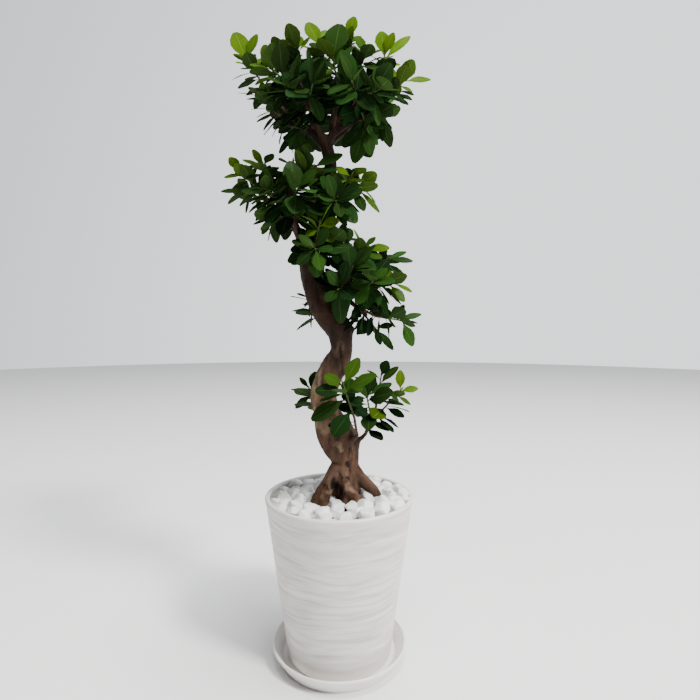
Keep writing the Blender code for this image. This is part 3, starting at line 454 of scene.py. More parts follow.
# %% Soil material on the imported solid
soil_look, tree, shader = new_material("potting_mix", Roughness=0.95)
place = object_place(tree)
humus = mix(tree, soft_noise(tree, place, 90, 6), linear("241811"), linear("4A3426"))
finish_shader(tree, shader, humus, cell_noise(tree, place, 330), 1.0, 0.002)
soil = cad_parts["soil"]
soil.data.materials.clear()
soil.data.materials.append(soil_look)
print("soil keeps", len(soil.data.polygons), "faces")

# %% [markdown]
# ## How the tree grew
#
# The solids of the tree came from a growth rule: given routes for the trunk, its strands, its roots
# and its limbs, a tip for every leafy shoot, and a rule that sets leaves round each green stem at the
# golden angle and turns, tilts or shortens a leaf that would touch anything. The same routes, rule and
# seeds are used here, so every stem and blade below lies where its solid lies. Only then are more leaves
# added between them.

# %% Routes of the wood, in metres, with radii in millimetres
TRUNK = [
    (0.012, 0.000, 0.300, 29), (0.012, 0.000, 0.345, 30), (0.013, 0.000, 0.385, 26),
    (0.014, 0.000, 0.411, 26.5), (0.007, 0.002, 0.436, 30), (-0.007, 0.006, 0.462, 30),
    (-0.022, 0.010, 0.493, 28), (-0.033, 0.012, 0.524, 26.5), (-0.030, 0.010, 0.548, 26.5),
    (-0.018, 0.004, 0.575, 27), (-0.004, -0.003, 0.601, 26), (0.005, -0.006, 0.625, 22.5),
    (0.004, -0.006, 0.646, 24), (0.000, -0.003, 0.666, 27), (-0.014, 0.002, 0.686, 27),
    (-0.030, 0.006, 0.706, 25), (-0.038, 0.008, 0.726, 25), (-0.045, 0.008, 0.746, 26),
    (-0.051, 0.006, 0.766, 25.5), (-0.056, 0.004, 0.786, 24), (-0.059, 0.002, 0.806, 21),
    (-0.058, 0.000, 0.830, 18.5), (-0.052, 0.000, 0.856, 17), (-0.043, 0.002, 0.886, 15.5),
    (-0.033, 0.004, 0.920, 14.5), (-0.023, 0.004, 0.952, 13.5), (-0.017, 0.002, 0.984, 13),
    (-0.020, 0.000, 1.012, 13), (-0.026, 0.000, 1.038, 13), (-0.026, 0.000, 1.052, 9),
]
STRANDS = [
    [(-0.002, -0.004, 0.405, 16), (-0.024, -0.008, 0.440, 17), (-0.036, -0.006, 0.480, 15),
     (-0.034, 0.0, 0.520, 14)],
    [(-0.052, -0.008, 0.800, 9), (-0.056, -0.010, 0.750, 14), (-0.046, -0.010, 0.712, 14),
     (-0.024, -0.006, 0.672, 12)],
    [(0.004, -0.006, 0.650, 14), (0.020, -0.010, 0.668, 13), (0.024, -0.010, 0.676, 9)],
    [(0.016, 0.0, 0.400, 20), (0.030, 0.0, 0.432, 13), (0.038, -0.002, 0.440, 7)],
]
ROOTS = [
    [(0.002, -0.006, 0.388, 17), (-0.020, -0.024, 0.360, 15), (-0.042, -0.039, 0.334, 12),
     (-0.054, -0.048, 0.306, 8)],
    [(-0.002, -0.012, 0.380, 15), (0.014, -0.034, 0.358, 13), (0.034, -0.052, 0.334, 11),
     (0.044, -0.064, 0.306, 7)],
    [(0.008, -0.008, 0.365, 14), (0.012, -0.040, 0.336, 11), (0.016, -0.062, 0.304, 8)],
    [(0.022, 0.000, 0.390, 15), (0.050, -0.006, 0.358, 13), (0.074, -0.010, 0.338, 10),
     (0.088, -0.014, 0.306, 7)],
    [(0.018, 0.006, 0.380, 14), (0.034, 0.030, 0.348, 12), (0.048, 0.054, 0.300, 7)],
    [(0.004, 0.006, 0.380, 14), (-0.018, 0.026, 0.348, 12), (-0.036, 0.046, 0.300, 7)],
]
LIMBS = {
    "crown": [
        [(-0.026, 0.000, 1.026, 9), (-0.056, 0.000, 1.056, 6), (-0.092, -0.002, 1.070, 5),
         (-0.122, -0.004, 1.088, 4), (-0.150, -0.008, 1.124, 3)],
        [(-0.028, -0.004, 1.034, 8), (-0.048, -0.038, 1.072, 5.5), (-0.064, -0.062, 1.106, 4),
         (-0.080, -0.058, 1.146, 3)],
        [(-0.026, 0.000, 1.030, 10), (-0.012, -0.002, 1.056, 7.5), (-0.002, -0.006, 1.082, 6),
         (0.000, -0.020, 1.114, 5), (-0.006, -0.032, 1.150, 3.5)],
        [(-0.014, 0.000, 1.050, 7), (0.006, 0.000, 1.066, 6), (0.046, -0.006, 1.086, 4.5),
         (0.080, -0.008, 1.112, 4), (0.096, 0.000, 1.146, 3)],
        [(-0.002, -0.008, 1.080, 5.5), (0.026, -0.048, 1.088, 4.5), (0.050, -0.068, 1.108, 3)],
        [(-0.028, 0.004, 1.034, 8), (-0.050, 0.046, 1.076, 5.5), (-0.078, 0.086, 1.116, 4),
         (-0.084, 0.096, 1.156, 3)],
        [(-0.020, 0.004, 1.036, 8), (0.008, 0.048, 1.076, 5.5), (0.046, 0.084, 1.116, 4),
         (0.064, 0.086, 1.156, 3)],
        [(-0.014, 0.004, 1.056, 7), (-0.014, 0.034, 1.096, 5), (-0.010, 0.048, 1.140, 4),
         (0.002, 0.044, 1.180, 3)],
    ],
    "shoulder": [
        [(-0.060, 0.000, 0.812, 12), (-0.072, -0.006, 0.840, 11), (-0.082, -0.010, 0.862, 9),
         (-0.102, -0.012, 0.886, 6.5), (-0.134, -0.012, 0.914, 4.5), (-0.160, -0.010, 0.938, 3)],
        [(-0.080, -0.010, 0.860, 8), (-0.088, -0.040, 0.884, 5.5), (-0.090, -0.064, 0.914, 4),
         (-0.086, -0.056, 0.950, 3)],
        [(-0.078, -0.002, 0.856, 8), (-0.102, 0.034, 0.886, 5.5), (-0.124, 0.062, 0.914, 3.5)],
        [(-0.042, 0.000, 0.888, 9), (-0.022, -0.018, 0.906, 6), (0.002, -0.030, 0.922, 4.5),
         (0.024, -0.020, 0.934, 3)],
        [(-0.040, 0.002, 0.896, 9), (-0.012, 0.036, 0.912, 6), (0.016, 0.056, 0.930, 3.5)],
    ],
    "waist": [
        [(-0.034, -0.004, 0.732, 12), (-0.004, -0.024, 0.746, 7.5), (0.022, -0.030, 0.764, 6),
         (0.038, -0.030, 0.790, 3.5)],
        [(-0.004, -0.024, 0.746, 6), (0.038, -0.034, 0.748, 4.5), (0.078, -0.030, 0.748, 3.2)],
        [(-0.002, -0.028, 0.744, 6), (0.028, -0.040, 0.716, 4.5), (0.056, -0.036, 0.694, 3.2)],
        [(-0.056, -0.002, 0.812, 10), (-0.050, -0.036, 0.816, 6.5), (-0.038, -0.060, 0.824, 4)],
        [(-0.024, 0.010, 0.672, 8), (-0.046, 0.034, 0.686, 2.8)],
        [(-0.046, 0.008, 0.770, 12), (-0.008, 0.040, 0.782, 6.5), (0.034, 0.052, 0.786, 4.5),
         (0.064, 0.044, 0.790, 3)],
    ],
    "foot": [
        [(0.034, -0.002, 0.438, 7), (0.053, -0.008, 0.456, 4), (0.062, -0.014, 0.490, 3.5),
         (0.066, -0.018, 0.508, 3)],
        [(0.024, -0.012, 0.444, 7), (0.036, -0.040, 0.460, 4), (0.026, -0.066, 0.480, 3),
         (0.018, -0.078, 0.502, 2.8)],
        [(-0.028, 0.016, 0.488, 9), (-0.046, 0.042, 0.498, 3.2)],
    ],
}
ALL_LIMBS = [rows for several in LIMBS.values() for rows in several]
print("routes", 1 + len(STRANDS) + len(ROOTS) + len(ALL_LIMBS))

# %% Tips of the leafy shoots
TIPS = {
    "crown": [
        (-0.180, -0.02, 1.187), (-0.132, -0.05, 1.160), (-0.112, 0.04, 1.215), (-0.080, 0.00, 1.218),
        (-0.036, -0.03, 1.208), (-0.008, -0.10, 1.150), (0.018, 0.02, 1.250), (0.052, -0.04, 1.190),
        (0.090, 0.00, 1.205), (0.128, -0.02, 1.148), (0.112, 0.06, 1.155), (-0.145, -0.04, 1.110),
        (-0.086, -0.10, 1.100), (-0.044, -0.12, 1.090), (0.026, -0.12, 1.096), (0.074, -0.09, 1.098),
        (0.056, -0.050, 1.040), (-0.086, -0.03, 1.056), (0.090, 0.01, 1.092), (-0.120, 0.12, 1.165),
        (-0.040, 0.13, 1.190), (0.040, 0.13, 1.195), (-0.060, 0.12, 1.110), (0.050, 0.12, 1.100),
    ],
    "shoulder": [
        (-0.192, -0.02, 0.975), (-0.142, -0.05, 0.978), (-0.088, -0.03, 0.992), (-0.048, -0.06, 0.970),
        (-0.188, 0.03, 0.950), (-0.128, -0.09, 0.918), (-0.070, -0.11, 0.918), (-0.134, 0.00, 0.888),
        (0.024, -0.05, 0.958), (0.046, 0.00, 0.952), (-0.004, -0.082, 0.902), (-0.130, 0.10, 0.950),
        (-0.030, 0.08, 0.955),
    ],
    "waist": [
        (-0.034, -0.08, 0.862), (-0.040, -0.10, 0.812), (0.012, -0.05, 0.838), (0.050, -0.03, 0.826),
        (0.026, -0.08, 0.782), (0.098, 0.00, 0.808), (0.064, -0.08, 0.756), (0.110, -0.02, 0.758),
        (0.125, -0.03, 0.684), (0.074, -0.012, 0.668), (0.060, 0.07, 0.810), (-0.066, 0.036, 0.735),
        (0.000, -0.075, 0.742),
    ],
    "foot": [
        (0.009, -0.09, 0.566), (0.054, -0.052, 0.540), (0.084, -0.022, 0.576), (0.124, -0.012, 0.546),
        (-0.066, 0.062, 0.540),
    ],
}
LEAVES_PER_SHOOT = {"crown": 5, "shoulder": 5, "waist": 5, "foot": 6}
# How strongly the leaves of a tier turn up, or down if it is less than 0
RISE = {"crown": 0.16, "shoulder": 0.10, "waist": -0.02, "foot": 0.0}
print("shoots", sum(map(len, TIPS.values())))

# %% [markdown]
# ## Leaves that are listed one by one
#
# Leaves that make the outline are listed one by one. Each row is a leaf's place along its stem, how far
# its tip is from there (right, back and up, in millimetres), its width beside a common one's, how much it
# turns to the viewer, and whether it is young.

# %% Leaves that are listed one by one
POSED_BEND = 0.12
POSED = {
    "crown_shoot_1": [
        (0.90, (-23, 0, 61), 0.95, 1.6, 1), (0.97, (20, -6, 50), 0.62, 1.6, 1),
        (0.75, (-21, -20, -2), 0.80, 1.0, 1), (0.60, (22, 16, 32), 0.90, 1.0, 0),
        (0.42, (-44, 0, -9), 0.60, 0.5, 0),
    ],
    "crown_shoot_2": [
        (0.96, (-8, 0, 43), 0.85, 1.4, 1), (0.90, (20, 12, 32), 0.90, 1.0, 0),
        (0.75, (-39, -12, 8), 0.90, 1.0, 0), (0.45, (-40, -18, -22), 0.90, 0.6, 0),
    ],
    "crown_shoot_4": [
        (0.92, (-25, 0, 38), 0.28, 1.0, 0), (0.97, (4, 4, 31), 0.90, 1.4, 0),
        (0.86, (21, -16, 22), 0.80, 1.2, 1), (0.70, (-30, -14, -3), 0.80, 0.8, 0),
    ],
    "crown_shoot_5": [
        (0.94, (-23, 0, 51), 0.95, 1.5, 1), (0.78, (-50, -26, 43), 0.70, 0.9, 1),
        (0.90, (8, 24, 55), 0.75, 1.4, 1), (0.68, (-37, -16, 11), 0.80, 0.8, 0),
    ],
    "crown_shoot_6": [
        (0.97, (11, 0, 63), 1.15, 1.9, 0), (0.85, (-35, -14, -2), 1.00, 1.0, 0),
        (0.78, (34, -14, -12), 1.00, 1.0, 0), (0.60, (-34, -22, -34), 1.00, 1.2, 0),
        (0.45, (28, -22, -40), 1.00, 1.2, 0),
    ],
    "crown_shoot_7": [
        (0.96, (12, -4, 46), 0.90, 1.6, 1), (0.45, (12, -22, 39), 0.75, 1.4, 1),
        (0.78, (28, 4, 22), 0.90, 1.2, 0), (0.40, (36, -20, 0), 0.90, 0.9, 0),
    ],
    "crown_shoot_8": [
        (0.92, (-13, -4, 35), 0.90, 1.4, 0), (0.97, (11, 16, 31), 0.80, 1.4, 0),
        (0.80, (32, -12, 12), 0.90, 0.9, 0), (0.45, (38, -24, -12), 1.00, 1.0, 0),
    ],
    "crown_shoot_9": [
        (0.92, (-5, 0, 55), 0.95, 1.5, 1), (0.82, (49, 0, 53), 0.55, 1.4, 1),
        (0.97, (15, -12, 42), 0.80, 1.2, 1), (0.60, (30, -20, -6), 0.80, 1.0, 1),
        (0.50, (-24, -20, 2), 0.90, 1.0, 0),
    ],
    "crown_shoot_10": [
        (0.90, (8, 0, 50), 0.95, 1.5, 1), (0.95, (52, 0, 10), 0.68, 1.4, 1),
        (0.72, (24, -10, -14), 0.80, 0.8, 1), (0.66, (-13, -18, 28), 0.90, 1.0, 1),
        (0.30, (22, -14, -18), 0.80, 0.6, 0),
    ],
    "crown_shoot_11": [
        (0.95, (27, -10, -15), 0.70, 0.8, 0), (0.90, (40, 16, 9), 0.50, 0.5, 0),
        (0.70, (15, -16, -36), 0.75, 0.8, 1), (0.40, (2, -14, -33), 0.90, 0.8, 0),
    ],
    "crown_shoot_12": [
        (0.90, (-46, -6, 12), 0.35, 0.5, 0), (0.97, (-25, -4, 18), 0.80, 1.2, 1),
        (0.99, (0, 0, 28), 0.80, 1.0, 0), (0.20, (-40, -10, 0), 0.30, 0.5, 0),
    ],
    "crown_shoot_17": [
        (0.88, (23, 10, -24), 0.90, 1.4, 0), (0.97, (4, -22, -48), 0.75, 1.2, 0),
        (0.72, (-26, 12, -63), 0.85, 1.4, 0), (0.70, (-44, -14, -40), 1.00, 1.2, 0),
        (0.60, (34, -10, -8), 0.90, 1.2, 0),
    ],
    "crown_shoot_18": [
        (0.80, (-13, -4, -39), 0.55, 0.6, 0), (0.97, (-22, 10, -14), 0.60, 0.8, 0),
        (0.35, (10, -8, -46), 0.80, 0.8, 0), (0.20, (34, -14, -18), 0.90, 1.0, 0),
    ],
    "shoulder_shoot_1": [
        (0.95, (-22, 0, 31), 0.95, 1.5, 1), (0.88, (23, 0, 19), 0.80, 1.0, 0),
        (0.80, (-36, -10, -4), 0.70, 1.0, 1), (0.45, (-32, -14, -16), 0.80, 0.8, 0),
    ],
    "shoulder_shoot_2": [
        (0.90, (-16, -16, 28), 0.80, 1.3, 1), (0.97, (15, 14, 30), 0.90, 1.3, 0),
        (0.80, (24, -8, 4), 0.80, 0.8, 0), (0.62, (-38, -12, -8), 0.80, 0.8, 0),
    ],
    "shoulder_shoot_3": [
        (0.97, (-12, 0, 38), 0.45, 1.3, 1), (0.92, (30, 0, 40), 0.70, 1.3, 1),
        (0.78, (-41, -4, 23), 0.75, 1.2, 0), (0.66, (35, -14, 8), 0.90, 1.0, 0),
    ],
    "shoulder_shoot_4": [
        (0.95, (55, -4, 30), 0.72, 1.4, 0), (0.88, (-4, 4, 35), 0.80, 1.0, 0),
        (0.76, (50, -12, 6), 0.80, 1.0, 0), (0.40, (34, -18, -18), 0.90, 0.9, 0),
    ],
    "shoulder_shoot_5": [
        (0.95, (-57, 0, 7), 0.50, 1.2, 0), (0.80, (-12, -4, -40), 0.30, 0.5, 0),
        (0.93, (-21, 6, 28), 0.80, 1.0, 0), (0.55, (16, 0, 27), 0.80, 0.9, 0),
        (0.35, (14, -6, -36), 0.80, 0.9, 0),
    ],
    "shoulder_shoot_8": [
        (0.95, (-21, -8, -30), 0.75, 1.3, 0), (0.60, (-21, 16, -41), 0.35, 0.6, 0),
        (0.90, (-41, 4, -6), 0.60, 0.9, 0), (0.50, (18, -14, -30), 0.80, 1.0, 0),
    ],
    "shoulder_shoot_9": [
        (0.94, (-26, -4, 18), 0.95, 1.5, 1), (0.72, (-34, -12, -11), 0.70, 1.0, 1),
        (0.60, (30, -6, -9), 0.80, 1.0, 0),
    ],
    "shoulder_shoot_10": [
        (0.97, (-15, -8, 32), 0.50, 1.3, 1), (0.93, (17, 4, 11), 0.75, 1.3, 1),
        (0.60, (47, -6, -43), 0.42, 0.8, 0), (0.92, (33, 4, -27), 0.30, 0.6, 1),
        (0.30, (20, -30, -42), 0.70, 1.0, 0),
    ],
    "waist_shoot_1": [
        (0.80, (36, -12, 12), 1.05, 2.0, 1), (0.60, (-23, -12, -10), 0.90, 1.7, 0),
        (0.97, (-20, 0, 32), 0.80, 1.0, 0), (0.90, (18, 6, 42), 0.80, 1.0, 1),
        (0.40, (30, -20, -14), 0.90, 1.5, 0),
    ],
    "waist_shoot_2": [
        (0.90, (10, -14, -38), 0.95, 1.6, 0), (0.70, (-34, -10, -26), 0.95, 1.4, 0),
        (0.97, (-28, -6, 26), 0.80, 1.2, 0),
    ],
    "waist_shoot_3": [
        (0.97, (28, 0, 3), 0.50, 1.0, 0), (0.88, (20, -10, -19), 0.90, 1.4, 0),
        (0.80, (6, -4, 34), 0.80, 1.0, 0), (0.60, (2, -16, -40), 1.00, 1.5, 0),
    ],
    "waist_shoot_4": [
        (0.97, (21, 4, 24), 0.70, 1.1, 0), (0.92, (49, -4, 5), 0.80, 1.3, 1),
        (0.86, (-16, 0, 41), 0.22, 0.6, 0), (0.80, (-4, -10, 21), 0.70, 1.2, 1),
        (0.60, (38, -16, -7), 0.90, 1.0, 0),
    ],
    "waist_shoot_6": [
        (0.90, (42, 12, 22), 0.50, 1.2, 0), (0.98, (48, -16, -2), 0.55, 1.3, 0),
        (0.55, (52, -12, -24), 0.50, 1.0, 0), (0.70, (4, 10, 35), 0.80, 0.9, 0),
        (0.35, (20, -18, -16), 0.90, 0.9, 0),
    ],
    "waist_shoot_7": [
        (0.90, (-39, -4, -6), 1.05, 1.5, 0), (0.75, (-30, -14, -38), 0.90, 1.2, 0),
        (0.97, (26, 0, 26), 0.90, 1.3, 0), (0.40, (-8, -8, 42), 0.90, 1.3, 0),
    ],
    "waist_shoot_8": [
        (0.97, (23, -8, 16), 0.85, 1.6, 1), (0.93, (38, 0, -13), 0.60, 0.8, 0),
        (0.80, (-8, -12, 27), 0.90, 1.2, 0), (0.62, (30, -14, -32), 0.80, 1.0, 0),
    ],
    "waist_shoot_9": [
        (0.97, (23, -4, -49), 0.75, 1.5, 0), (0.80, (44, 0, 15), 0.60, 1.0, 0),
        (0.93, (33, 2, -2), 0.40, 0.8, 0), (0.72, (11, -14, 28), 0.80, 1.0, 0),
        (0.40, (-20, -16, 40), 0.90, 1.0, 0),
    ],
    "waist_shoot_10": [
        (0.97, (37, -4, -40), 0.55, 1.2, 0), (0.85, (12, -12, -33), 0.70, 1.0, 0),
        (0.90, (35, 0, 8), 0.80, 1.2, 0), (0.30, (-12, -6, -24), 0.50, 0.8, 0),
        (0.15, (6, -16, 22), 0.60, 0.8, 0),
    ],
    "waist_shoot_12": [
        (0.96, (-20, -15, 9), 0.70, 0.8, 0), (0.80, (-12, -1, -13), 0.80, 0.8, 0),
        (0.60, (-8, 7, -27), 0.70, 0.5, 0), (0.40, (-10, 14, -42), 0.60, 0.3, 0),
        (0.85, (14, 25, 30), 0.90, 0.3, 0),
    ],
    "waist_shoot_13": [
        (0.80, (4, -4, -65), 0.80, 1.9, 0), (0.90, (-26, -6, 34), 0.80, 1.0, 0),
        (0.30, (38, -20, -18), 0.80, 0.9, 0),
    ],
    "foot_shoot_1": [
        (0.92, (-35, 1, 22), 0.95, 1.8, 1), (0.97, (28, 5, 51), 0.75, 1.8, 1),
        (0.82, (52, -30, 33), 0.62, 1.2, 0), (0.78, (-55, -3, 3), 0.85, 1.8, 0),
        (0.72, (33, 8, 8), 0.80, 1.2, 0), (0.66, (-53, 21, -9), 0.80, 0.3, 0),
        (0.52, (-70, -6, -36), 0.72, 1.2, 0), (0.50, (28, -14, 0), 0.90, 0.8, 0),
        (0.10, (-34, -34, -38), 1.00, 1.6, 0), (0.22, (31, -14, -11), 1.00, 0.9, 0),
    ],
    "foot_shoot_2": [
        (0.72, (37, -55, 26), 0.85, 1.7, 0), (0.93, (9, -30, 45), 0.75, 1.2, 0),
        (0.97, (48, 11, 27), 0.62, 1.0, 0), (0.88, (-29, -1, -2), 0.90, 0.8, 0),
        (0.40, (-24, -34, -9), 0.90, 0.9, 0),
    ],
    "foot_shoot_3": [
        (0.97, (9, -23, 30), 1.00, 1.5, 0), (0.78, (36, -31, -31), 0.40, 0.3, 0),
        (0.86, (-24, 1, 21), 0.55, 0.35, 0),
    ],
    "foot_shoot_4": [
        (0.97, (-1, -10, 40), 0.80, 1.8, 1), (0.94, (36, -3, 8), 0.75, 1.2, 1),
        (0.74, (31, -2, -16), 0.60, 0.6, 0), (0.24, (18, -17, 11), 0.80, 1.8, 1),
        (0.16, (37, -16, -14), 0.72, 1.0, 0), (0.10, (-22, -52, -4), 1.10, 1.5, 1),
    ],
    "foot_shoot_5": [
        (0.97, (-20, 1, 25), 0.60, 1.2, 0), (0.84, (11, 1, 41), 0.90, 1.2, 0),
        (0.55, (-41, 8, -26), 0.80, 0.8, 0), (0.35, (33, 35, 8), 0.90, 0.5, 0),
    ],
}
print("posed leaves", sum(map(len, POSED.values())))

# %% [markdown]
# ## The growth rule
#
# A route is a smooth curve through its rows. A twig bows from its limb to its tip, and its last stretch is
# the green stem. A leaf is held as a base, a direction, the way its face looks and its size. A leaf is kept
# only if a slightly larger copy of its blade crosses no wood, no other stem and no other leaf.

# %% Curves and twigs
GAP = 0.0003
LEAF_LENGTH = 0.059
LEAF_HALF_WIDTH = 0.29
STEM_LENGTH = {"crown": 0.045, "shoulder": 0.045, "waist": 0.045, "foot": 0.060}
STEM_RADIUS = 0.0020
TWIG_RADIUS = 0.0025
GOLDEN_ANGLE = math.radians(137.5)
CLEARANCE = 0.0013
SKIN = 0.0008
BEND_ROOM = 0.005
ROUTE_STEP = 0.034
BLADE_EDGE = [(0, 0), (0.84, 0.40), (0.88, 0.78), (0, 1.0), (-0.88, 0.78), (-0.84, 0.40)]
BLADE_FACES = [(3, 0, 1), (3, 1, 2), (3, 4, 5), (3, 5, 0)]
FOLD = 0.22
SKY_PULL = Vector((0, 0, 0.9))
SKIN_SIDES = 8
STEM_CUTS = (1, 0.85, 0.7, 0.55)
# How far a leaf that would touch something may turn about its stem and tilt from it, in radians
LEAF_TRIES = [
    (0, 0), (0.35, 0), (-0.35, 0), (0, -0.3), (0, 0.3), (0.7, -0.1), (-0.7, -0.1), (1.1, 0.15), (-1.1, 0.15),
]
Leaf = namedtuple("Leaf", "base along face length width bend young")
Shoot = namedtuple("Shoot", "name tier twig stem leaves")


def smooth_route(rows, spacing):
    """Points about spacing apart, with their radii, on a smooth curve through rows of x, y, z and radius."""
    rows = [rows[0], *rows, rows[-1]]
    made = []
    for before, start, end, after in zip(rows, rows[1:], rows[2:], rows[3:]):
        steps = max(1, round(math.dist(start[:3], end[:3]) / spacing))
        for step in range(steps):
            t = step / steps
            made.append([
                b + 0.5 * ((c - a) * t + (2 * a - 5 * b + 4 * c - d) * t**2 + (3 * b - a - 3 * c + d) * t**3)
                for a, b, c, d in zip(before, start, end, after)
            ])
    made.append(list(rows[-1]))
    return [(Vector(row[:3]), row[3] / 1000) for row in made]


def twig_route(limb, tip):
    """A bowed twig: it leaves the limb at a slant, somewhat behind the tip, and bends over to it."""
    nearest = min(range(len(limb) - 1), key=lambda k: (limb[k][0] - tip).length)
    reach = (limb[nearest][0] - tip).length
    start = nearest
    while start > 1 and (limb[start][0] - limb[nearest][0]).length < 0.4 * reach:
        start -= 1
    root = limb[start][0]
    onward = (limb[start + 1][0] - limb[max(start - 1, 0)][0]).normalized()
    bend = root + onward * 0.45 * (tip - root).length
    return [root * (1 - t) ** 2 + bend * 2 * t * (1 - t) + tip * t**2 for t in (0, 0.5, 1)]


def cut_route(points, from_end):
    """The woody and the green part of a twig, cut square at a distance from its tip, a hair apart."""
    head, left = list(points), from_end
    tail = [head.pop()]
    while len(head) > 1 and (head[-1] - tail[0]).length < left:
        left -= (head[-1] - tail[0]).length
        tail.insert(0, head.pop())
    if left < BEND_ROOM and len(tail) > 1:
        head.append(tail.pop(0))
        left = from_end
    back = (head[-1] - tail[0]).normalized()
    left = min(left, (head[-1] - tail[0]).length - BEND_ROOM)
    return [*head, tail[0] + back * left], [tail[0] + back * (left - GAP), *tail]


def place_on(points, share):
    """The point and the direction at a share of a route's length."""
    lengths = [(b - a).length for a, b in zip(points, points[1:])]
    left = share * sum(lengths)
    for a, b, length in zip(points, points[1:], lengths):
        if left <= length or b is points[-1]:
            return a + (b - a) * min(1, left / length), (b - a).normalized()
        left -= length


# %% Blades and what they must clear
def blade_point(leaf, side, t, lift=0.0):
    """A point of a blade: side is -1 to 1 across it, t is 0 to 1 along it, lift is off its middle face."""
    across = leaf.along.cross(leaf.face)
    height = FOLD * abs(side) * leaf.width - leaf.bend * leaf.length * t * t + lift
    return leaf.base + leaf.along * (leaf.length * t) + across * (side * leaf.width) + leaf.face * height


def blade_patch(leaf):
    """A blade's middle face, to find what crosses it."""
    return [blade_point(leaf, *place) for place in BLADE_EDGE], BLADE_FACES


def blade_envelope(leaf, start):
    """A thicker and wider blade from a share of its length on, which has to be clear of everything else."""
    grown = leaf._replace(width=leaf.width * 1.06 + 0.0006)
    side_points = [(0.84, 0.38), (0.88, 0.80)]
    ring = [(0, 1.03), (-0.88, 0.80), (-0.84, 0.38), (-0.12, start), (0.12, start), *side_points]
    corners = len(ring)
    points = [blade_point(grown, *place, lift) for lift in (CLEARANCE, -CLEARANCE) for place in ring]
    faces = []
    for k in range(corners):
        after = (k + 1) % corners
        faces += [(k, k + corners, after + corners), (k, after + corners, after)]
        if 0 < k < corners - 1:
            faces += [(0, k, k + 1), (corners, k + 1 + corners, k + corners)]
    return points, faces


def skin(points, radii):
    """A plain skin round a route, to keep leaves clear of it."""
    made = []
    for k, (point, radius) in enumerate(zip(points, radii)):
        onward = (points[min(k + 1, len(points) - 1)] - points[max(k - 1, 0)]).normalized()
        right = onward.orthogonal().normalized()
        up = onward.cross(right)
        for s in range(SKIN_SIDES):
            angle = math.tau * s / SKIN_SIDES
            made.append(point + (right * math.cos(angle) + up * math.sin(angle)) * radius)
    faces = []
    for k in range(len(points) - 1):
        for s in range(SKIN_SIDES):
            a, b = k * SKIN_SIDES + s, k * SKIN_SIDES + (s + 1) % SKIN_SIDES
            faces.append((a, b, b + SKIN_SIDES, a + SKIN_SIDES))
    return made, faces


def tree_of(skins):
    """One search tree over several sets of points and faces."""
    points, faces = [], []
    for some_points, some_faces in skins:
        faces += [tuple(len(points) + v for v in face) for face in some_faces]
        points += some_points
    return BVHTree.FromPolygons(points, faces) if faces else None


# %% Leaves round a stem
FIRST_LEAF, LAST_LEAF_AFTER = 0.14, 0.80
OPEN_ANGLE, CLOSING_ANGLE = 78, 44
YOUNG_SIZE = 0.72


def make_leaf(base, along, sky, length, girth, bend, young):
    """A leaf whose upper face turns to the sky side."""
    along = along.normalized()
    face = (sky - along * sky.dot(along)).normalized()
    return Leaf(base, along, face, length, length * LEAF_HALF_WIDTH * girth, bend, young)


def turned_leaves(tier, base, axis, turn, spread, sizes, tries, length, girth, bend, young):
    """A leaf, then the same leaf turned about its stem, tilted or shorter."""
    right = axis.orthogonal().normalized()
    up = axis.cross(right)
    for shorter in sizes:
        for more_turn, more_spread in tries:
            a, s = turn + more_turn, spread + more_spread
            along = axis * math.cos(s) + (right * math.cos(a) + up * math.sin(a)) * math.sin(s)
            along.z += RISE[tier] * (1 - abs(along.z))
            yield make_leaf(base, along, axis + SKY_PULL, length * shorter, girth, bend, young)


def leaf_choices(name, tier, stem, index):
    """The ways in which the leaf that a stem bears at this place may stand."""
    rng = random.Random(f"{name} {index}")
    count = LEAVES_PER_SHOOT[tier]
    share = FIRST_LEAF + LAST_LEAF_AFTER * index / (count - 1)
    base, axis = place_on(stem, share)
    young = int(index >= count - 2)
    first_turn = random.Random(name).uniform(0, math.tau)
    turn = first_turn + GOLDEN_ANGLE * index + rng.uniform(-0.25, 0.25)
    spread = math.radians(OPEN_ANGLE - CLOSING_ANGLE * share**1.6) + rng.uniform(-0.1, 0.1)
    length = LEAF_LENGTH * rng.uniform(0.86, 1.12) * (YOUNG_SIZE if young else 1.0)
    girth, bend = rng.uniform(0.92, 1.08), rng.uniform(0.06, 0.20)
    return turned_leaves(tier, base, axis, turn, spread, (1.0, 0.84), LEAF_TRIES, length, girth, bend, young)


def posed_leaf(stem, share, reach, girth, front, young):
    """A leaf that is listed one by one."""
    along = Vector(reach) / 1000
    sky = Vector((0, -front, 1))
    return make_leaf(place_on(stem, share)[0], along, sky, along.length, girth, POSED_BEND, young)


def all_choices(name, tier, stem):
    """For each leaf of a shoot, the ways in which it may stand: first the listed ones, then the rest."""
    rows = POSED.get(name, [])
    for row in rows:
        yield [posed_leaf(stem, *row)]
    for index in range(LEAVES_PER_SHOOT[tier] - len(rows)):
        yield leaf_choices(name, tier, stem, index)


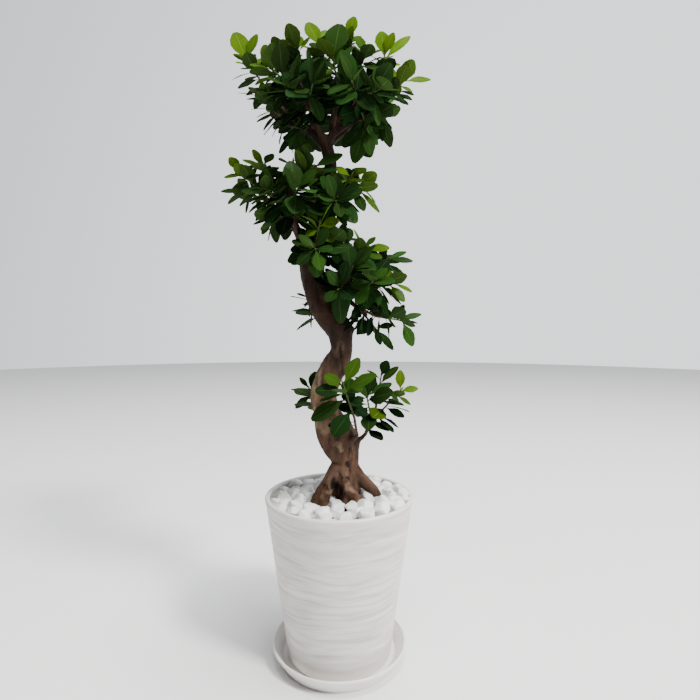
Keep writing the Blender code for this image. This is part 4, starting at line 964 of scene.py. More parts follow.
def bare_twigs(limbs, routes):
    """A woody twig and a green stem up to each tip, with the stem shortened until it clears the wood."""
    wood = [skin([p for p, _ in route], [r * 1.08 + SKIN for _, r in route]) for route in routes]
    made, green = [], []
    for tier, tips in TIPS.items():
        for number, tip in enumerate(tips, 1):
            tip = Vector(tip)
            limb = min(limbs[tier], key=lambda route: min((p - tip).length for p, _ in route[1:]))
            route = twig_route(limb, tip)
            whole = sum((b - a).length for a, b in zip(route, route[1:]))
            for shorter in STEM_CUTS:
                twig, stem = cut_route(route, min(STEM_LENGTH[tier], 0.6 * whole) * shorter)
                soft = skin(stem, [STEM_RADIUS + SKIN] * len(stem))
                woody = skin(twig, [TWIG_RADIUS + SKIN] * len(twig))
                blocked = tree_of(wood).overlap(tree_of([soft]))
                if not blocked and not (green and tree_of(green).overlap(tree_of([woody]))):
                    break
            wood.append(woody)
            green.append(soft)
            made.append((f"{tier}_shoot_{number}", tier, twig, stem))
    return made, tree_of(wood)


def stems_but(name):
    """A search tree over every green stem except one shoot's."""
    return tree_of([made for other, made in stem_skins.items() if other != name])


# %% Grow the tree
limb_routes = {tier: [smooth_route(rows, ROUTE_STEP) for rows in several] for tier, several in LIMBS.items()}
wood_routes = [smooth_route(rows, ROUTE_STEP) for rows in [TRUNK, *STRANDS]]
wood_routes += [route for several in limb_routes.values() for route in several]
bare, woody_tree = bare_twigs(limb_routes, wood_routes)
stem_skins = {name: skin(stem, [STEM_RADIUS + SKIN] * len(stem)) for name, _, _, stem in bare}
taken, shoots = [], []
for name, tier, twig, stem in sorted(bare, key=lambda row: row[0] not in POSED):
    other_stems = stems_but(name)
    earlier, own, leaves = tree_of(taken), [], []
    for choices in all_choices(name, tier, stem):
        for leaf in choices:
            whole = tree_of([blade_envelope(leaf, -0.03)])
            if any(tree and tree.overlap(whole) for tree in (woody_tree, other_stems, earlier)):
                continue
            sister = tree_of(own)
            if sister and sister.overlap(tree_of([blade_envelope(leaf, 0.12)])):
                continue
            leaves.append(leaf)
            own.append(blade_patch(leaf))
            break
    taken += own
    shoots.append(Shoot(name, tier, twig, stem, leaves))
print("leaves of the solids", sum(len(shoot.leaves) for shoot in shoots))

# %% [markdown]
# ## More leaves between the first ones
#
# The solids hold a third of the leaves of the real tree, at their true size. The rest grows here by the
# same rule: further leaves round each green stem and along the end of its woody twig. On a shoot whose
# outline is listed leaf by leaf they are smaller and stay on the inner nine tenths. Every one has to clear
# what is already there, and its tip may leave the solids' box by 2 mm at most.

# %% Thicken the foliage
MORE_LEAVES = {"crown": 15, "shoulder": 15, "waist": 14, "foot": 6}
WOODY_REACH = 0.045
INNER_SHARE = 0.90
OUTER_SHARE = 0.97
INNER_SIZE = 0.82
BOX_SLACK = 0.002
MORE_OPEN_ANGLE, MORE_CLOSING_ANGLE = 88, 46
MORE_TRIES = [(turn, tilt) for turn in (0, 0.9, -0.9, 1.8, -1.8, 2.7) for tilt in (0, -0.3)]


def more_choices(shoot, route, index):
    """The ways in which a further leaf of a shoot may stand."""
    rng = random.Random(f"{shoot.name} more {index}")
    posed = shoot.name in POSED
    share = (index + rng.uniform(0.1, 0.9)) / MORE_LEAVES[shoot.tier]
    base, axis = place_on(route, (INNER_SHARE if posed else OUTER_SHARE) * share)
    turn = rng.uniform(0, math.tau)
    spread = math.radians(MORE_OPEN_ANGLE - MORE_CLOSING_ANGLE * share**2) + rng.uniform(-0.15, 0.15)
    length = LEAF_LENGTH * rng.uniform(0.78, 1.12) * (INNER_SIZE if posed else 1.0)
    girth, bend = rng.uniform(0.92, 1.1), rng.uniform(0.05, 0.22)
    sizes = (1.0, 0.84, 0.68)
    return turned_leaves(shoot.tier, base, axis, turn, spread, sizes, MORE_TRIES, length, girth, bend, 0)


def inside_box(leaf):
    """Whether a leaf's tip stays within the solids' box, or a few millimetres beyond it."""
    tip = leaf.base + leaf.along * leaf.length
    return all(cad_low[k] - BOX_SLACK < tip[k] < cad_high[k] + BOX_SLACK for k in range(3))


def bearing_route(shoot):
    """The stretch that bears leaves: the green stem, and the end of its woody twig."""
    reach = sum((b - a).length for a, b in zip(shoot.twig, shoot.twig[1:]))
    first = place_on(shoot.twig, max(0.25, 1 - WOODY_REACH / reach))[0]
    return [first, *shoot.stem]


added = 0
for shoot in shoots:
    other_stems = stems_but(shoot.name)
    earlier, own = tree_of(taken), []
    route = bearing_route(shoot)
    for index in range(MORE_LEAVES[shoot.tier]):
        for leaf in more_choices(shoot, route, index):
            whole = tree_of([blade_envelope(leaf, 0.14)])
            nearby = (woody_tree, other_stems, earlier, tree_of(own))
            if inside_box(leaf) and not any(tree and tree.overlap(whole) for tree in nearby):
                shoot.leaves.append(leaf)
                own.append(blade_patch(leaf))
                added += 1
                break
    taken += own
print("leaves added", added, "in all", sum(len(shoot.leaves) for shoot in shoots))

# %% [markdown]
# ## Leaf materials: waxy cuticle over green tissue
#
# A banyan leaf has a very dark green body under a thin wax skin. Wax has an IOR near 1.45, and a skin that
# is slightly uneven spreads the highlight into a soft sheen. It is a coat of very small weight over a matt
# body, because a stronger one glares white where a blade is seen flat against the lights. The midrib is a
# thin paler line and the side veins are faint, both drawn from the blade's own UV map: U runs across the
# blade and V from its stem to its tip. Young leaves at the shoots' ends are lime green, and leaves that are
# not listed and sit high in their tier are painted limer too, which is painted sunlight. Leaves far down the
# stem are painted almost black: partly their age and partly painted shade inside the foliage. A colour
# attribute holds a leaf's youth together with the painted sunlight, a tone of its own, and how far down it
# sits. The underside is paler and duller.

# %% Leaf materials
LEAF_IOR = 1.45
WAX_WEIGHT = 0.02
WAX_ROUGHNESS = 0.30
MIDRIB_EDGES = (0.006, 0.024)
MIDRIB_TINT = 0.42
VEIN_TINT = 0.10
VEIN_SLANT = -0.9
VEINS_PER_BLADE = 75.0
# How far leaves deep down a stem are painted toward near-black: partly age, partly painted shade
OLD_AND_SHADED_TINT = 0.85
YOUNG_RIB = "93AE3C"


def leaf_tissue(name, old_dark, old_light, young, oldest_and_shaded, rib, roughness):
    """A leaf's surface: body colour by age with painted sunlight on high leaves and painted shade on low
    ones, a paler midrib and faint side veins.
    """
    look, tree, shader = new_material(name, Roughness=roughness, IOR=LEAF_IOR, Specular_IOR_Level=0.0,
                                      Coat_Weight=WAX_WEIGHT, Coat_Roughness=WAX_ROUGHNESS)
    age_and_painted_light = add_node(tree, "ShaderNodeSeparateColor", {"Color": attribute(tree, "tone")}).outputs
    cloud = soft_noise(tree, object_place(tree), 60, 3)
    body = mix(tree, age_and_painted_light["Green"], linear(old_dark), linear(old_light))
    body = mix(tree, age_and_painted_light["Red"], body, linear(young))
    body = mix(tree, ramp(tree, cloud, 0.4, 0.75, 0, 0.25), body, linear(old_light))
    # Leaves far down the stem darken toward near-black: partly age, partly painted shade in the foliage
    body = mix(tree, ramp(tree, age_and_painted_light["Blue"], 0.0, 1.0, 0.0, OLD_AND_SHADED_TINT), body, linear(oldest_and_shaded))
    leaf_map = add_node(tree, "ShaderNodeUVMap", uv_map="leaf").outputs[0]
    across, along, _ = add_node(tree, "ShaderNodeSeparateXYZ", {"Vector": leaf_map}).outputs
    off = maths(tree, "ABSOLUTE", maths(tree, "SUBTRACT", across, 0.5))
    midrib = ramp(tree, off, *MIDRIB_EDGES, MIDRIB_TINT, 0.0)
    slanted = maths(tree, "MULTIPLY_ADD", off, VEIN_SLANT, along)
    veins = maths(tree, "SINE", maths(tree, "MULTIPLY", slanted, VEINS_PER_BLADE))
    vein_tint = ramp(tree, veins, 0.72, 1.0, 0.0, VEIN_TINT)
    rib_colour = mix(tree, age_and_painted_light["Red"], linear(rib), linear(YOUNG_RIB))
    body = mix(tree, vein_tint, mix(tree, midrib, body, rib_colour), rib_colour)
    finish_shader(tree, shader, body, maths(tree, "ADD", midrib, vein_tint), 0.35, 0.0006)
    return look


# The fourth colour of each is the near-black of leaves far down the stem: partly age, partly painted shade
LEAF_TOP = leaf_tissue("waxy_leaf_top", "0D1E14", "1E3F18", "567510", "080F09", "456530", 0.40)
LEAF_UNDER = leaf_tissue("leaf_underside", "22361D", "304A24", "5F7A1C", "0E150C", "5F7A45", 0.60)
GREEN_STEM, tree, shader = new_material("green_stem", Roughness=0.5, Specular_IOR_Level=0.05)
streaks = soft_noise(tree, object_place(tree), 140, 3)
tree.links.new(mix(tree, streaks, linear("2F3A22"), linear("56603A")), shader.inputs["Base Color"])
print("leaf materials made")

# %% [markdown]
# ## Leaf blades
#
# Each blade starts as a small grid, 4 faces across and 7 along. Its points are moved to the outline of a
# banyan leaf: a short stalk, a wedge-shaped base, the widest place past the middle and a blunt round tip.
# The halves rise from the midrib, their margins curl down and ripple slightly, and the whole blade arches.
# The grid then gets a thickness of 0.6 mm. What faces down takes the underside's material, and so do steep
# parts.

# %% Blade shape
BLADE_ACROSS = 4
BLADE_ALONG = 7
BLADE_ROWS = [0.0, 0.10, 0.22, 0.40, 0.60, 0.78, 0.92, 1.0]
BLADE_THICKNESS = 0.0006
BLADE_WIDER = 1.04
MARGIN_CURL = 0.14
RIPPLE = 0.05
STALK_SHARE = 0.12
STALK_WIDTH = 0.055
UPPER_FACING = 0.3


def half_width(t):
    """A blade's half width at a share of its length, as a share of its widest."""
    if t <= STALK_SHARE:
        return STALK_WIDTH
    s = (t - STALK_SHARE) / (1.0 - STALK_SHARE)
    return max(STALK_WIDTH, math.sin(math.pi * min(s, 0.985) ** 1.14) ** (1.1 - 0.55 * s))


def add_blade(bm, leaf, tone, uv_layer, tone_layer):
    """Adds one thin blade to a bmesh. What faces up gets material 0, and what faces down or stands steep, the
    rim too, material 1.
    """
    rng = random.Random(f"{leaf.base.x:.5f} {leaf.base.z:.5f} {leaf.along.x:.4f}")
    phase = rng.uniform(0, math.tau)
    across = leaf.along.cross(leaf.face)
    made = bmesh.ops.create_grid(bm, x_segments=BLADE_ACROSS, y_segments=BLADE_ALONG, size=0.5)["verts"]
    where = {}
    for vert in made:
        side = 2 * vert.co.x
        t = BLADE_ROWS[round((vert.co.y + 0.5) * BLADE_ALONG)]
        where[vert] = (vert.co.x + 0.5, t)
        wide = half_width(t)
        rise = FOLD * abs(side) ** 1.3 * wide - MARGIN_CURL * side**4 * wide
        ripple = RIPPLE * math.sin(9.0 * t + phase + (2.0 if side > 0 else 0.0)) * side**2 * wide
        height = (rise + ripple) * leaf.width - leaf.bend * leaf.length * t * t
        sideways = across * (side * wide * leaf.width * BLADE_WIDER)
        vert.co = leaf.base + leaf.along * (leaf.length * t) + sideways
        vert.co += leaf.face * height
    sheet = list({face: None for vert in made for face in vert.link_faces})
    for face in sheet:
        for loop in face.loops:
            loop[uv_layer].uv = where[loop.vert]
            loop[tone_layer] = tone
    for item in (*sheet, *made):
        item.normal_update()
    made = bmesh.ops.solidify(bm, geom=sheet, thickness=BLADE_THICKNESS)["geom"]
    body = list({item: None for item in [*sheet, *made] if isinstance(item, bmesh.types.BMFace)})
    bmesh.ops.recalc_face_normals(bm, faces=body)
    for face in body:
        face.normal_update()
        face.material_index = 0 if face.normal.dot(leaf.face) > UPPER_FACING else 1


# %% [markdown]
# ## Stems and buds
#
# A green stem is a ring of points that is carried along its route and closed at both ends. It tapers
# towards its tip, where a banyan carries the pointed sheath that wraps its next leaf.

# %% Tube along a route
def add_tube(bm, points, radii, sides, material_index=0):
    """Carries a ring along points and closes both ends."""
    before = set(bm.faces)
    last = len(points) - 1
    ways = [(points[min(k + 1, last)] - points[max(k - 1, 0)]).normalized() for k in range(last + 1)]
    turn = ways[0].to_track_quat("Z", "Y")
    ring = bmesh.ops.create_circle(bm, cap_ends=True, segments=sides, radius=radii[0])["verts"]
    bmesh.ops.transform(bm, matrix=Matrix.Translation(points[0]) @ turn.to_matrix().to_4x4(), verts=ring)
    edges = list({edge for vert in ring for edge in vert.link_edges})
    for k in range(1, len(points)):
        made = bmesh.ops.extrude_edge_only(bm, edges=edges)["geom"]
        ring = [item for item in made if isinstance(item, bmesh.types.BMVert)]
        edges = [item for item in made if isinstance(item, bmesh.types.BMEdge)]
        swing = ways[k - 1].rotation_difference(ways[k]).to_matrix().to_4x4()
        grow = Matrix.Scale(radii[k] / radii[k - 1], 4)
        carry = Matrix.Translation(points[k]) @ swing @ grow @ Matrix.Translation(-points[k - 1])
        bmesh.ops.transform(bm, matrix=carry, verts=ring)
    bmesh.ops.edgeloop_fill(bm, edges=edges)
    made_faces = [face for face in bm.faces if face not in before]
    bmesh.ops.recalc_face_normals(bm, faces=made_faces)
    for face in made_faces:
        face.material_index = material_index


# %% Leafy shoots
# How lime green the young leaves of a shoot are, by its tier and number
LIME = {
    "crown": {1: 0.75, 2: 0.6, 3: 0.7, 4: 0.75, 5: 0.7, 6: 0.55, 7: 0.8, 8: 0.5, 9: 0.95, 10: 0.65, 11: 0.6,
              12: 0.3, 21: 0.6, 22: 0.6},
    "shoulder": {1: 0.6, 2: 0.5, 3: 0.5, 9: 0.8, 10: 0.7},
    "waist": {1: 0.7, 4: 0.8, 8: 0.9},
    "foot": {1: 0.35, 4: 0.9},
}
COMMON_LIME = 0.15
# Distance below a stem's tip over which leaves are painted darker: partly age, partly painted shade
OLD_AND_SHADED_BELOW = 0.06
# Leaves near the top of their tier are painted limer and lighter: painted sunlight
SUNLIT = 0.10
SUNLIT_SHARE = {"crown": 0.85, "shoulder": 0.6, "waist": 0.3, "foot": 0.3}
YOUNG_WITHIN = 0.046
BUD_LENGTH = 0.009
# Where the bud's rings are, as shares of its length, and how wide they are beside the stem
BUD_RINGS = [(0.15, 0.85), (0.45, 0.8), (0.8, 0.4), (1.0, 0.08)]
STEM_STEPS = 6
STEM_TAPER = 0.3
tier_tops = {tier: max(shoot.stem[-1].z for shoot in shoots if shoot.tier == tier) for tier in TIPS}

def shoot_piece(shoot):
    """A green stem with its bud and all its leaves."""
    bm = bmesh.new()
    uv_layer = bm.loops.layers.uv.new("leaf")
    tone_layer = bm.loops.layers.float_color.new("tone")
    rng = random.Random(shoot.name + " tone")
    lime = LIME[shoot.tier].get(int(shoot.name.split("_")[-1]), COMMON_LIME)
    for number, leaf in enumerate(shoot.leaves):
        below_tip = (leaf.base - shoot.stem[-1]).length
        near_tip = max(0.0, 1 - below_tip / YOUNG_WITHIN)
        # Painted sunlight: leaves high in their tier are made limer, on top of real youth
        high = max(0.0, 1 - (tier_tops[shoot.tier] - leaf.base.z) / SUNLIT)
        youth_and_painted_sunlight = lime * (rng.uniform(0.75, 1.0) if leaf.young else near_tip * rng.uniform(0.2, 1.0))
        if number >= len(POSED.get(shoot.name, [])):
            youth_and_painted_sunlight = max(youth_and_painted_sunlight, high * SUNLIT_SHARE[shoot.tier] * rng.uniform(0.1, 1.0))
        # Painted shade and age: the farther below the tip, the darker the leaf is painted
        depth = min(1.0, max(0.0, below_tip / OLD_AND_SHADED_BELOW - 0.25))
        add_blade(bm, leaf, (youth_and_painted_sunlight, rng.random() ** 1.5, depth, 1), uv_layer, tone_layer)
    route = [place_on(shoot.stem, k / STEM_STEPS)[0] for k in range(STEM_STEPS + 1)]
    onward = (route[-1] - route[-2]).normalized()
    route += [route[-1] + onward * BUD_LENGTH * share for share, _ in BUD_RINGS]
    radii = [STEM_RADIUS * (1 - STEM_TAPER * k / STEM_STEPS) for k in range(STEM_STEPS + 1)]
    radii += [STEM_RADIUS * width for _, width in BUD_RINGS]
    add_tube(bm, route, radii, 8, 2)
    looks = [LEAF_TOP, LEAF_UNDER, GREEN_STEM]
    new_piece(f"leafy_{shoot.name}", bm, looks, [shoot.name], 60)


for shoot in shoots:
    shoot_piece(shoot)

# %% [markdown]
# ## Bark material: thin living bark
#
# Banyan bark stays thin and smooth for years. It is grey-brown to red-brown, with pale patches where the
# outer skin has worn, a green tinge on the shaded side and fine raised pores in short rows across the grain.
# Its folds and pits are painted dark, which is painted shade, and so is its upper part, which is also older.
# The patches, the green tinge, the painted shade and darker thin limbs come from a colour attribute that is
# worked out below from the mesh itself. The pores are drawn 1.5 mm wide so that they show.

# %% Bark material
ALONG_GRAIN = (1, 1, 0.35)
ACROSS_GRAIN = (1, 1, 2.6)


def bark_look():
    """Brown bark whose pale patches, green tinge and painted shade in folds, pits and the upper part are read
    from the attribute named bark.
    """
    look, tree, shader = new_material("living_bark", Roughness=0.72, Specular_IOR_Level=0.15)
    told = add_node(tree, "ShaderNodeSeparateColor", {"Color": attribute(tree, "bark")}).outputs
    grain = soft_noise(tree, object_place(tree, *ALONG_GRAIN), 55, 7)
    blotch = soft_noise(tree, object_place(tree), 22, 3)
    pores = cell_noise(tree, object_place(tree, *ACROSS_GRAIN), 230)
    body = mix(tree, ramp(tree, grain, 0.3, 0.7), linear("2A1E18"), linear("664C3C"))
    layers = [
        (ramp(tree, blotch, 0.45, 0.7, 0, 0.55), "6E452F"),
        (told["Green"], "5E6038"),
        (maths(tree, "MULTIPLY", told["Red"], ramp(tree, grain, 0.25, 0.6, 0.35, 1.0)), "A68E72"),
        (ramp(tree, pores, 0.0, 0.25, 0.35, 0.0), "9A7F63"),
        # Near-black: painted shade in folds, pits and the upper part, and darker thin limbs
        (told["Blue"], "150D0B"),
    ]
    for share, colour in layers:
        body = mix(tree, share, body, linear(colour))
    relief = maths(tree, "ADD", grain, ramp(tree, pores, 0.0, 0.3, 0.5, 0.0))
    finish_shader(tree, shader, body, relief, 0.6, 0.0012)
    return look

BARK = bark_look()
print("bark made")

# %% [markdown]
# ## Trunk, roots and limbs
#
# These grew as one body, with soft webs where a limb or a root leaves the trunk. Tubes along the routes
# give the masses, and one more tube, a low web, joins the left and the middle root. A voxel remesh melts
# them into one skin, and smoothing rounds the joints, more on the thick trunk than on thin limbs. Then the
# skin is pushed out and in by noise that is stretched along the grain, which gives the low ridges and dents
# of real bark. The dents and pits are painted dark as painted shade. The upper part is painted almost black,
# which is painted shade under the foliage and partly older bark, and the thinnest limbs are darker too.

# %% Melt the tubes into one skin
VOXEL = 0.0020
FINE_STEP = 0.008
THINNEST = 0.0032
TUBE_SIDES = 16
ROOT_WEBS = [
    [(-0.006, -0.016, 0.392, 14), (-0.024, -0.038, 0.352, 13), (-0.034, -0.050, 0.312, 11)],
]
STOCK_X = 0.012
STOCK_TOP = 0.320
STOCK_RADII = [0.017, 0.027, 0.029]


def fine_tubes():
    """A bmesh of closed tubes along every route, the root stock included."""
    bm = bmesh.new()
    for rows in [TRUNK, *STRANDS, *ROOTS, *ROOT_WEBS, *ALL_LIMBS]:
        route = smooth_route(rows, FINE_STEP)
        add_tube(bm, [p for p, _ in route], [max(r, THINNEST) for _, r in route], TUBE_SIDES)
    wood_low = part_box("wood")[0].z
    stock = [Vector((STOCK_X, 0, z)) for z in (wood_low, soil_top, STOCK_TOP)]
    add_tube(bm, stock, STOCK_RADII, TUBE_SIDES)
    return bm

def melted(bm):
    """The tubes as one skin, by a voxel remesh."""
    mesh = bpy.data.meshes.new("tubes")
    bm.to_mesh(mesh)
    bm.free()
    block = bpy.data.objects.new("tubes", mesh)
    bpy.context.scene.collection.objects.link(block)
    remesh = block.modifiers.new("melt", "REMESH")
    remesh.mode = "VOXEL"
    remesh.voxel_size = VOXEL
    bpy.context.view_layer.update()
    made = bpy.data.meshes.new_from_object(block.evaluated_get(bpy.context.evaluated_depsgraph_get()))
    bpy.data.objects.remove(block)
    skin_bm = bmesh.new()
    skin_bm.from_mesh(made)
    bpy.data.meshes.remove(made)
    return skin_bm


wood_bm = melted(fine_tubes())
print("melted skin", len(wood_bm.faces), "faces")

# %% Smooth, roughen and colour the skin
THICK = 0.011
FULL_GIRTH = 0.022
NEAREST_ROUTES = 6
RIDGE_HEIGHT = 0.0024
PIT_DEPTH = 0.004
RAGGED_EDGE = 0.010
# Each streak is where it starts, where it ends, and how far it reaches round that line
PALE_PATCHES = [
    ((-0.056, -0.014, 0.528), (-0.050, -0.016, 0.585), 0.022),
    ((-0.050, -0.014, 0.585), (-0.036, -0.016, 0.612), 0.012),
    ((-0.046, -0.016, 0.500), (-0.030, -0.022, 0.462), 0.013),
    ((0.000, -0.026, 0.622), (0.006, -0.026, 0.634), 0.012),
    ((-0.004, -0.030, 0.440), (0.004, -0.028, 0.424), 0.008),
    ((0.018, -0.044, 0.366), (0.026, -0.050, 0.346), 0.010),
    ((-0.020, -0.040, 0.356), (-0.030, -0.044, 0.342), 0.010),
    ((0.012, 0.028, 0.580), (0.004, 0.028, 0.626), 0.020),
    ((-0.050, 0.030, 0.700), (-0.056, 0.028, 0.740), 0.018),
    ((0.002, 0.032, 0.430), (-0.010, 0.034, 0.470), 0.016),
]
GREEN_STREAKS = [
    ((-0.060, -0.002, 0.545), (-0.046, -0.004, 0.605), 0.020),
    ((-0.076, -0.006, 0.700), (-0.080, 0.0, 0.800), 0.016),
    ((0.046, 0.010, 0.400), (0.036, 0.012, 0.440), 0.014),
]
# Pits pressed into the bark and painted near-black: painted shade
DARK_PITS = [
    ((0.018, -0.030, 0.398), (0.019, -0.030, 0.392), 0.007),
    ((0.030, -0.016, 0.556), (0.031, -0.016, 0.566), 0.006),
    ((-0.002, -0.030, 0.696), (-0.001, -0.030, 0.708), 0.007),
    ((-0.012, -0.034, 0.372), (-0.008, -0.040, 0.346), 0.010),
    ((0.006, -0.036, 0.336), (0.003, -0.038, 0.352), 0.008),
]
# Above this height the bark is painted darker: painted shade under the foliage, partly older bark
DARK_ABOVE = (0.575, 0.655)
PALE_MOST = 0.62
GREEN_MOST = 0.7
DARK_MOST = 0.92
SHADED_DARK = 0.78
THIN_DARK = 0.6
# The noise behind the streaks' ragged edges starts from the clock unless it is given a seed
EDGE_SEED = 7
noise.seed_set(EDGE_SEED)

fine_routes = [smooth_route(rows, FINE_STEP) for rows in [TRUNK, *STRANDS, *ROOTS, *ALL_LIMBS]]
route_points = [pair for route in fine_routes for pair in route]
routes_in_space = KDTree(len(route_points))
for index, (point, _) in enumerate(route_points):
    routes_in_space.insert(point, index)
routes_in_space.balance()


def girth_near(point):
    """The thickest route within reach of a point."""
    return max(route_points[index][1] for _, index, _ in routes_in_space.find_n(point, NEAREST_ROUTES))


def smooth(bm, verts, rounds):
    """Moves each of these points half way to the middle of its neighbours, several times."""
    for _ in range(rounds):
        bmesh.ops.smooth_vert(bm, verts=verts, factor=0.5, use_axis_x=True, use_axis_y=True, use_axis_z=True)


smooth(wood_bm, [vert for vert in wood_bm.verts if girth_near(vert.co) > THICK], 10)
smooth(wood_bm, wood_bm.verts, 2)
wood_bm.normal_update()


def near(point, streaks):
    """How strongly the closest of several soft streaks, with ragged edges, covers a point, from 0 to 1."""
    ragged = point + RAGGED_EDGE * noise.noise_vector(point * 40) + 0.004 * noise.noise_vector(point * 130)
    best = 0.0
    for start, end, reach in streaks:
        start, end = Vector(start), Vector(end)
        closest, share = intersect_point_line(ragged, start, end)
        closest = start if share < 0 else end if share > 1 else closest
        best = max(best, 1 - (ragged - closest).length / reach)
    return best


def bark_relief(point):
    """Height of the bark at a point, from about -1 to 1: long low ridges with finer wrinkles across."""
    drift = 0.012 * noise.noise(Vector((point.x * 20, point.y * 20, point.z * 9)))
    ridges = noise.fractal(Vector(((point.x + drift) * 75, point.y * 75, point.z * 16)), 0.9, 2.1, 4)
    wrinkles = noise.noise(Vector((point.x * 50, point.y * 50, point.z * 240)))
    return 0.85 * ridges + 0.2 * wrinkles


bark_layer = wood_bm.verts.layers.float_color.new("bark")
for vert in wood_bm.verts:
    girth = min(1.0, girth_near(vert.co) / FULL_GIRTH)
    height = bark_relief(vert.co)
    pit = near(vert.co, DARK_PITS)
    pale = min(PALE_MOST, 1.5 * near(vert.co, PALE_PATCHES)) * (0.6 + 0.6 * noise.noise(vert.co * 90))
    green = GREEN_MOST * near(vert.co, GREEN_STREAKS)
    shaded = min(1, max(0, (vert.co.z - DARK_ABOVE[0]) / (DARK_ABOVE[1] - DARK_ABOVE[0])))
    # Painted shade: the dents of the relief and the pits are painted dark
    fold = max(0.0, -height - 0.05) * 1.6 + min(1.0, 2 * pit)
    dark = min(DARK_MOST, max(fold, SHADED_DARK * shaded, THIN_DARK - 0.9 * girth))
    vert[bark_layer] = (max(0.0, pale), green, dark, 1)
    vert.co += vert.normal * (RIDGE_HEIGHT * girth * height - PIT_DEPTH * pit)
new_piece("bark_skin", wood_bm, [BARK], ["wood"], 70)

# %% [markdown]
# ## Woody twigs
#
# Thin twigs would melt away in the remesh, so they are tubes of their own. Each runs out of its limb along
# the same bowed route as its solid and ends square against its green stem.

# %% Twigs
TWIG_STEPS = 6

twig_bm = bmesh.new()
bark_layer = twig_bm.verts.layers.float_color.new("bark")
for shoot in shoots:
    points = [place_on(shoot.twig, k / TWIG_STEPS)[0] for k in range(TWIG_STEPS + 1)]
    radii = [TWIG_RADIUS * (1.12 - 0.16 * k / TWIG_STEPS) for k in range(TWIG_STEPS + 1)]
    add_tube(twig_bm, points, radii, 8)
for vert in twig_bm.verts:
    vert[bark_layer] = (0.10 * (1 + noise.noise(vert.co * 60)), 0.15, 0.50, 1)
new_piece("woody_twigs", twig_bm, [BARK], ["wood"], 60)

# %% [markdown]
# ## Marble stones
#
# The soil is covered by broken white marble with flat, rough faces and worn corners. A stone starts as a
# ball of fine triangles. Whatever stands out beyond a plane is pressed onto it: nine deep planes give the
# broken faces and eight shallow ones chip the corners. A little smoothing wears the edges and noise
# roughens the faces. Grey is painted on each stone's underside and most on the lower layer: partly dust, and
# partly painted shade low between the stones. They are laid in two layers in the same spiral as the solid
# bed, then pushed apart and away from the roots and the wall until they only touch. The bed is heaped at the
# front right.

# %% Marble material
marble, tree, shader = new_material("broken_marble", Roughness=0.55, IOR=1.5, Subsurface_Weight=0.08,
                                    Subsurface_Scale=0.004)
place = object_place(tree)
body = mix(tree, ramp(tree, soft_noise(tree, place, 28, 5), 0.45, 0.70), linear("F6F6F4"), linear("DADBD9"))
# Grey where the attribute is high: partly dust, and partly painted shade low between the stones
body = mix(tree, ramp(tree, attribute(tree, "dust", "Fac"), 0.1, 1.0), body, linear("8E8A82"))
finish_shader(tree, shader, body, soft_noise(tree, place, 420, 3), 0.5, 0.0006)
print("marble made")

# %% Lay and settle the stones
STONE_SIZE = 0.0160
STONE_COUNT = 70
UNDER_COUNT = 60
UNDER_DROP = 0.011
BED_REACH = 0.132
BED_TOP = 0.316
BED_LIFT = 0.003
BED_SLOPE = 0.060
SETTLE_ROUNDS = 60
TOUCH = 0.82
ROOT_TOUCH = 0.74
WALL_TOUCH = 0.86
ABOVE_SOIL = 0.6
SIDEWAYS_ONLY = 0.25
EASE = 0.6
Stone = namedtuple("Stone", "place size fine")


def bed_height(x, y):
    """Height of the stones' middles: heaped at the front right, lower at the back left."""
    return BED_TOP + BED_LIFT + BED_SLOPE * (0.5 * x - 0.86 * y)


def laid_stones():
    """Two layers of stones in a sunflower's spiral."""
    rng = random.Random(5)
    made = []
    layers = [(STONE_COUNT, 0.0, 0.0, True), (UNDER_COUNT, UNDER_DROP, 1.3, False)]
    for count, drop, first_turn, fine in layers:
        for k in range(count):
            reach = BED_REACH * math.sqrt((k + 0.5) / count)
            angle = GOLDEN_ANGLE * k + first_turn
            x, y = reach * math.cos(angle), reach * math.sin(angle)
            place = Vector((x, y, bed_height(x, y) - drop))
            made.append(Stone(place, STONE_SIZE * rng.uniform(0.82, 1.1), fine))
    return made


def settled(stones, blocks):
    """Pushes stones apart, away from the roots and inside the pot's wall."""
    for _ in range(SETTLE_ROUNDS):
        for stone in stones:
            push = Vector()
            for other in stones:
                gap = stone.place - other.place
                reach = TOUCH * (stone.size + other.size)
                if other is not stone and gap.length < reach:
                    push += gap.normalized() * (reach - gap.length) * 0.5
            for centre, radius in blocks:
                gap = stone.place - centre
                reach = radius + ROOT_TOUCH * stone.size
                if gap.length < reach:
                    push += gap.normalized() * (reach - gap.length)
            push.z *= SIDEWAYS_ONLY
            stone.place.xyz += push * EASE
            limit = pot_radius(stone.place.z) - POT_WALL - WALL_TOUCH * stone.size
            out = math.hypot(stone.place.x, stone.place.y)
            if out > limit:
                stone.place.x *= limit / out
                stone.place.y *= limit / out
            stone.place.z = max(soil_top + ABOVE_SOIL * stone.size, stone.place.z)
    return stones


blocks = []
for rows in [TRUNK[:4], *ROOTS, *ROOT_WEBS]:
    blocks += [(point, radius) for point, radius in smooth_route(rows, 0.012) if point.z < 0.37]
stones = settled(laid_stones(), blocks)
print("stones", len(stones))

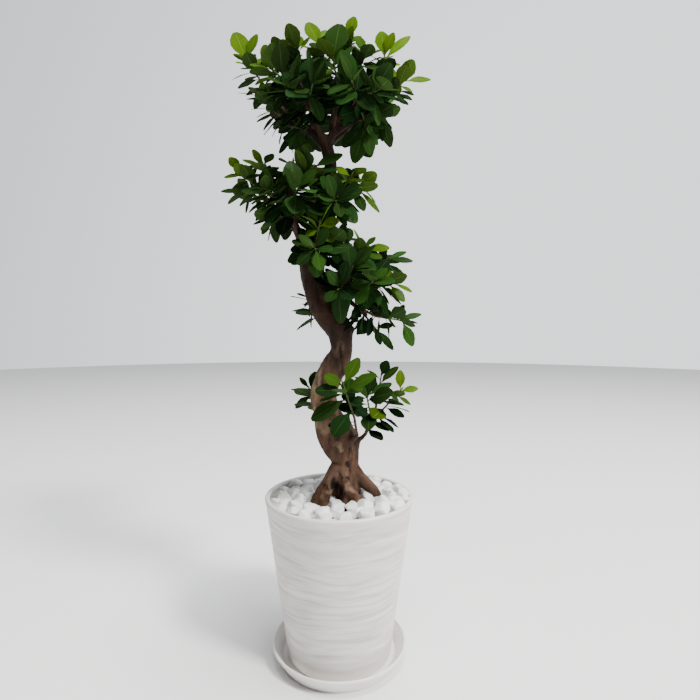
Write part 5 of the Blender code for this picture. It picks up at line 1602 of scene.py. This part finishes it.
# %% Break the stones
BIG_CUTS = 9
SMALL_CUTS = 8
BIG_CUT_DEPTH = (0.55, 0.80)
SMALL_CUT_DEPTH = (0.74, 0.86)
WORN = 3
SIZE_WITH_CUTS = 1.30


def add_stone(bm, stone, rng):
    """One broken stone: a ball with flat cuts, rough faces and a turn of its own."""
    ball = bmesh.ops.create_icosphere(bm, subdivisions=4 if stone.fine else 3, radius=1)["verts"]
    for number in range(BIG_CUTS + SMALL_CUTS):
        cut = Vector([rng.gauss(0, 1) for _ in range(3)]).normalized()
        depth = rng.uniform(*(BIG_CUT_DEPTH if number < BIG_CUTS else SMALL_CUT_DEPTH))
        for vert in ball:
            over = vert.co.dot(cut) - depth
            if over > 0:
                vert.co -= cut * over
    smooth(bm, ball, WORN if stone.fine else 1)
    seed = Vector([rng.uniform(0, 90) for _ in range(3)])
    shade_and_dust_layer = bm.verts.layers.float_color["dust"]
    # Painted shade and dust: the lower layer and each stone's underside are painted grey, with random dust
    # patches
    settled_shade_and_dust = rng.uniform(0.0, 0.3) if stone.fine else rng.uniform(0.5, 0.9)
    for vert in ball:
        low = max(0.0, -vert.co.z - 0.1)
        patch = max(0.0, noise.noise(vert.co * 1.8 + seed * 2))
        vert[shade_and_dust_layer] = (min(1.0, settled_shade_and_dust + 0.8 * low + 0.5 * patch), 0, 0, 1)
        vert.co *= 1 + 0.07 * noise.noise(vert.co * 2.0 + seed) + 0.045 * noise.noise(vert.co * 5 + seed)
    size = stone.size * SIZE_WITH_CUTS
    tilt = Matrix.Rotation(rng.uniform(-0.5, 0.5), 4, "X") @ Matrix.Rotation(rng.uniform(0, math.tau), 4, "Z")
    stretch = Matrix.Diagonal((size, size * rng.uniform(0.78, 0.95), size * rng.uniform(0.7, 0.86), 1))
    bmesh.ops.transform(bm, matrix=Matrix.Translation(stone.place) @ tilt @ stretch, verts=ball)


stone_bm = bmesh.new()
stone_bm.verts.layers.float_color.new("dust")
stone_rng = random.Random(11)
for stone in stones:
    add_stone(stone_bm, stone, stone_rng)
bmesh.ops.recalc_face_normals(stone_bm, faces=stone_bm.faces)
new_piece("marble_stones", stone_bm, [marble], ["pebbles"], 32)
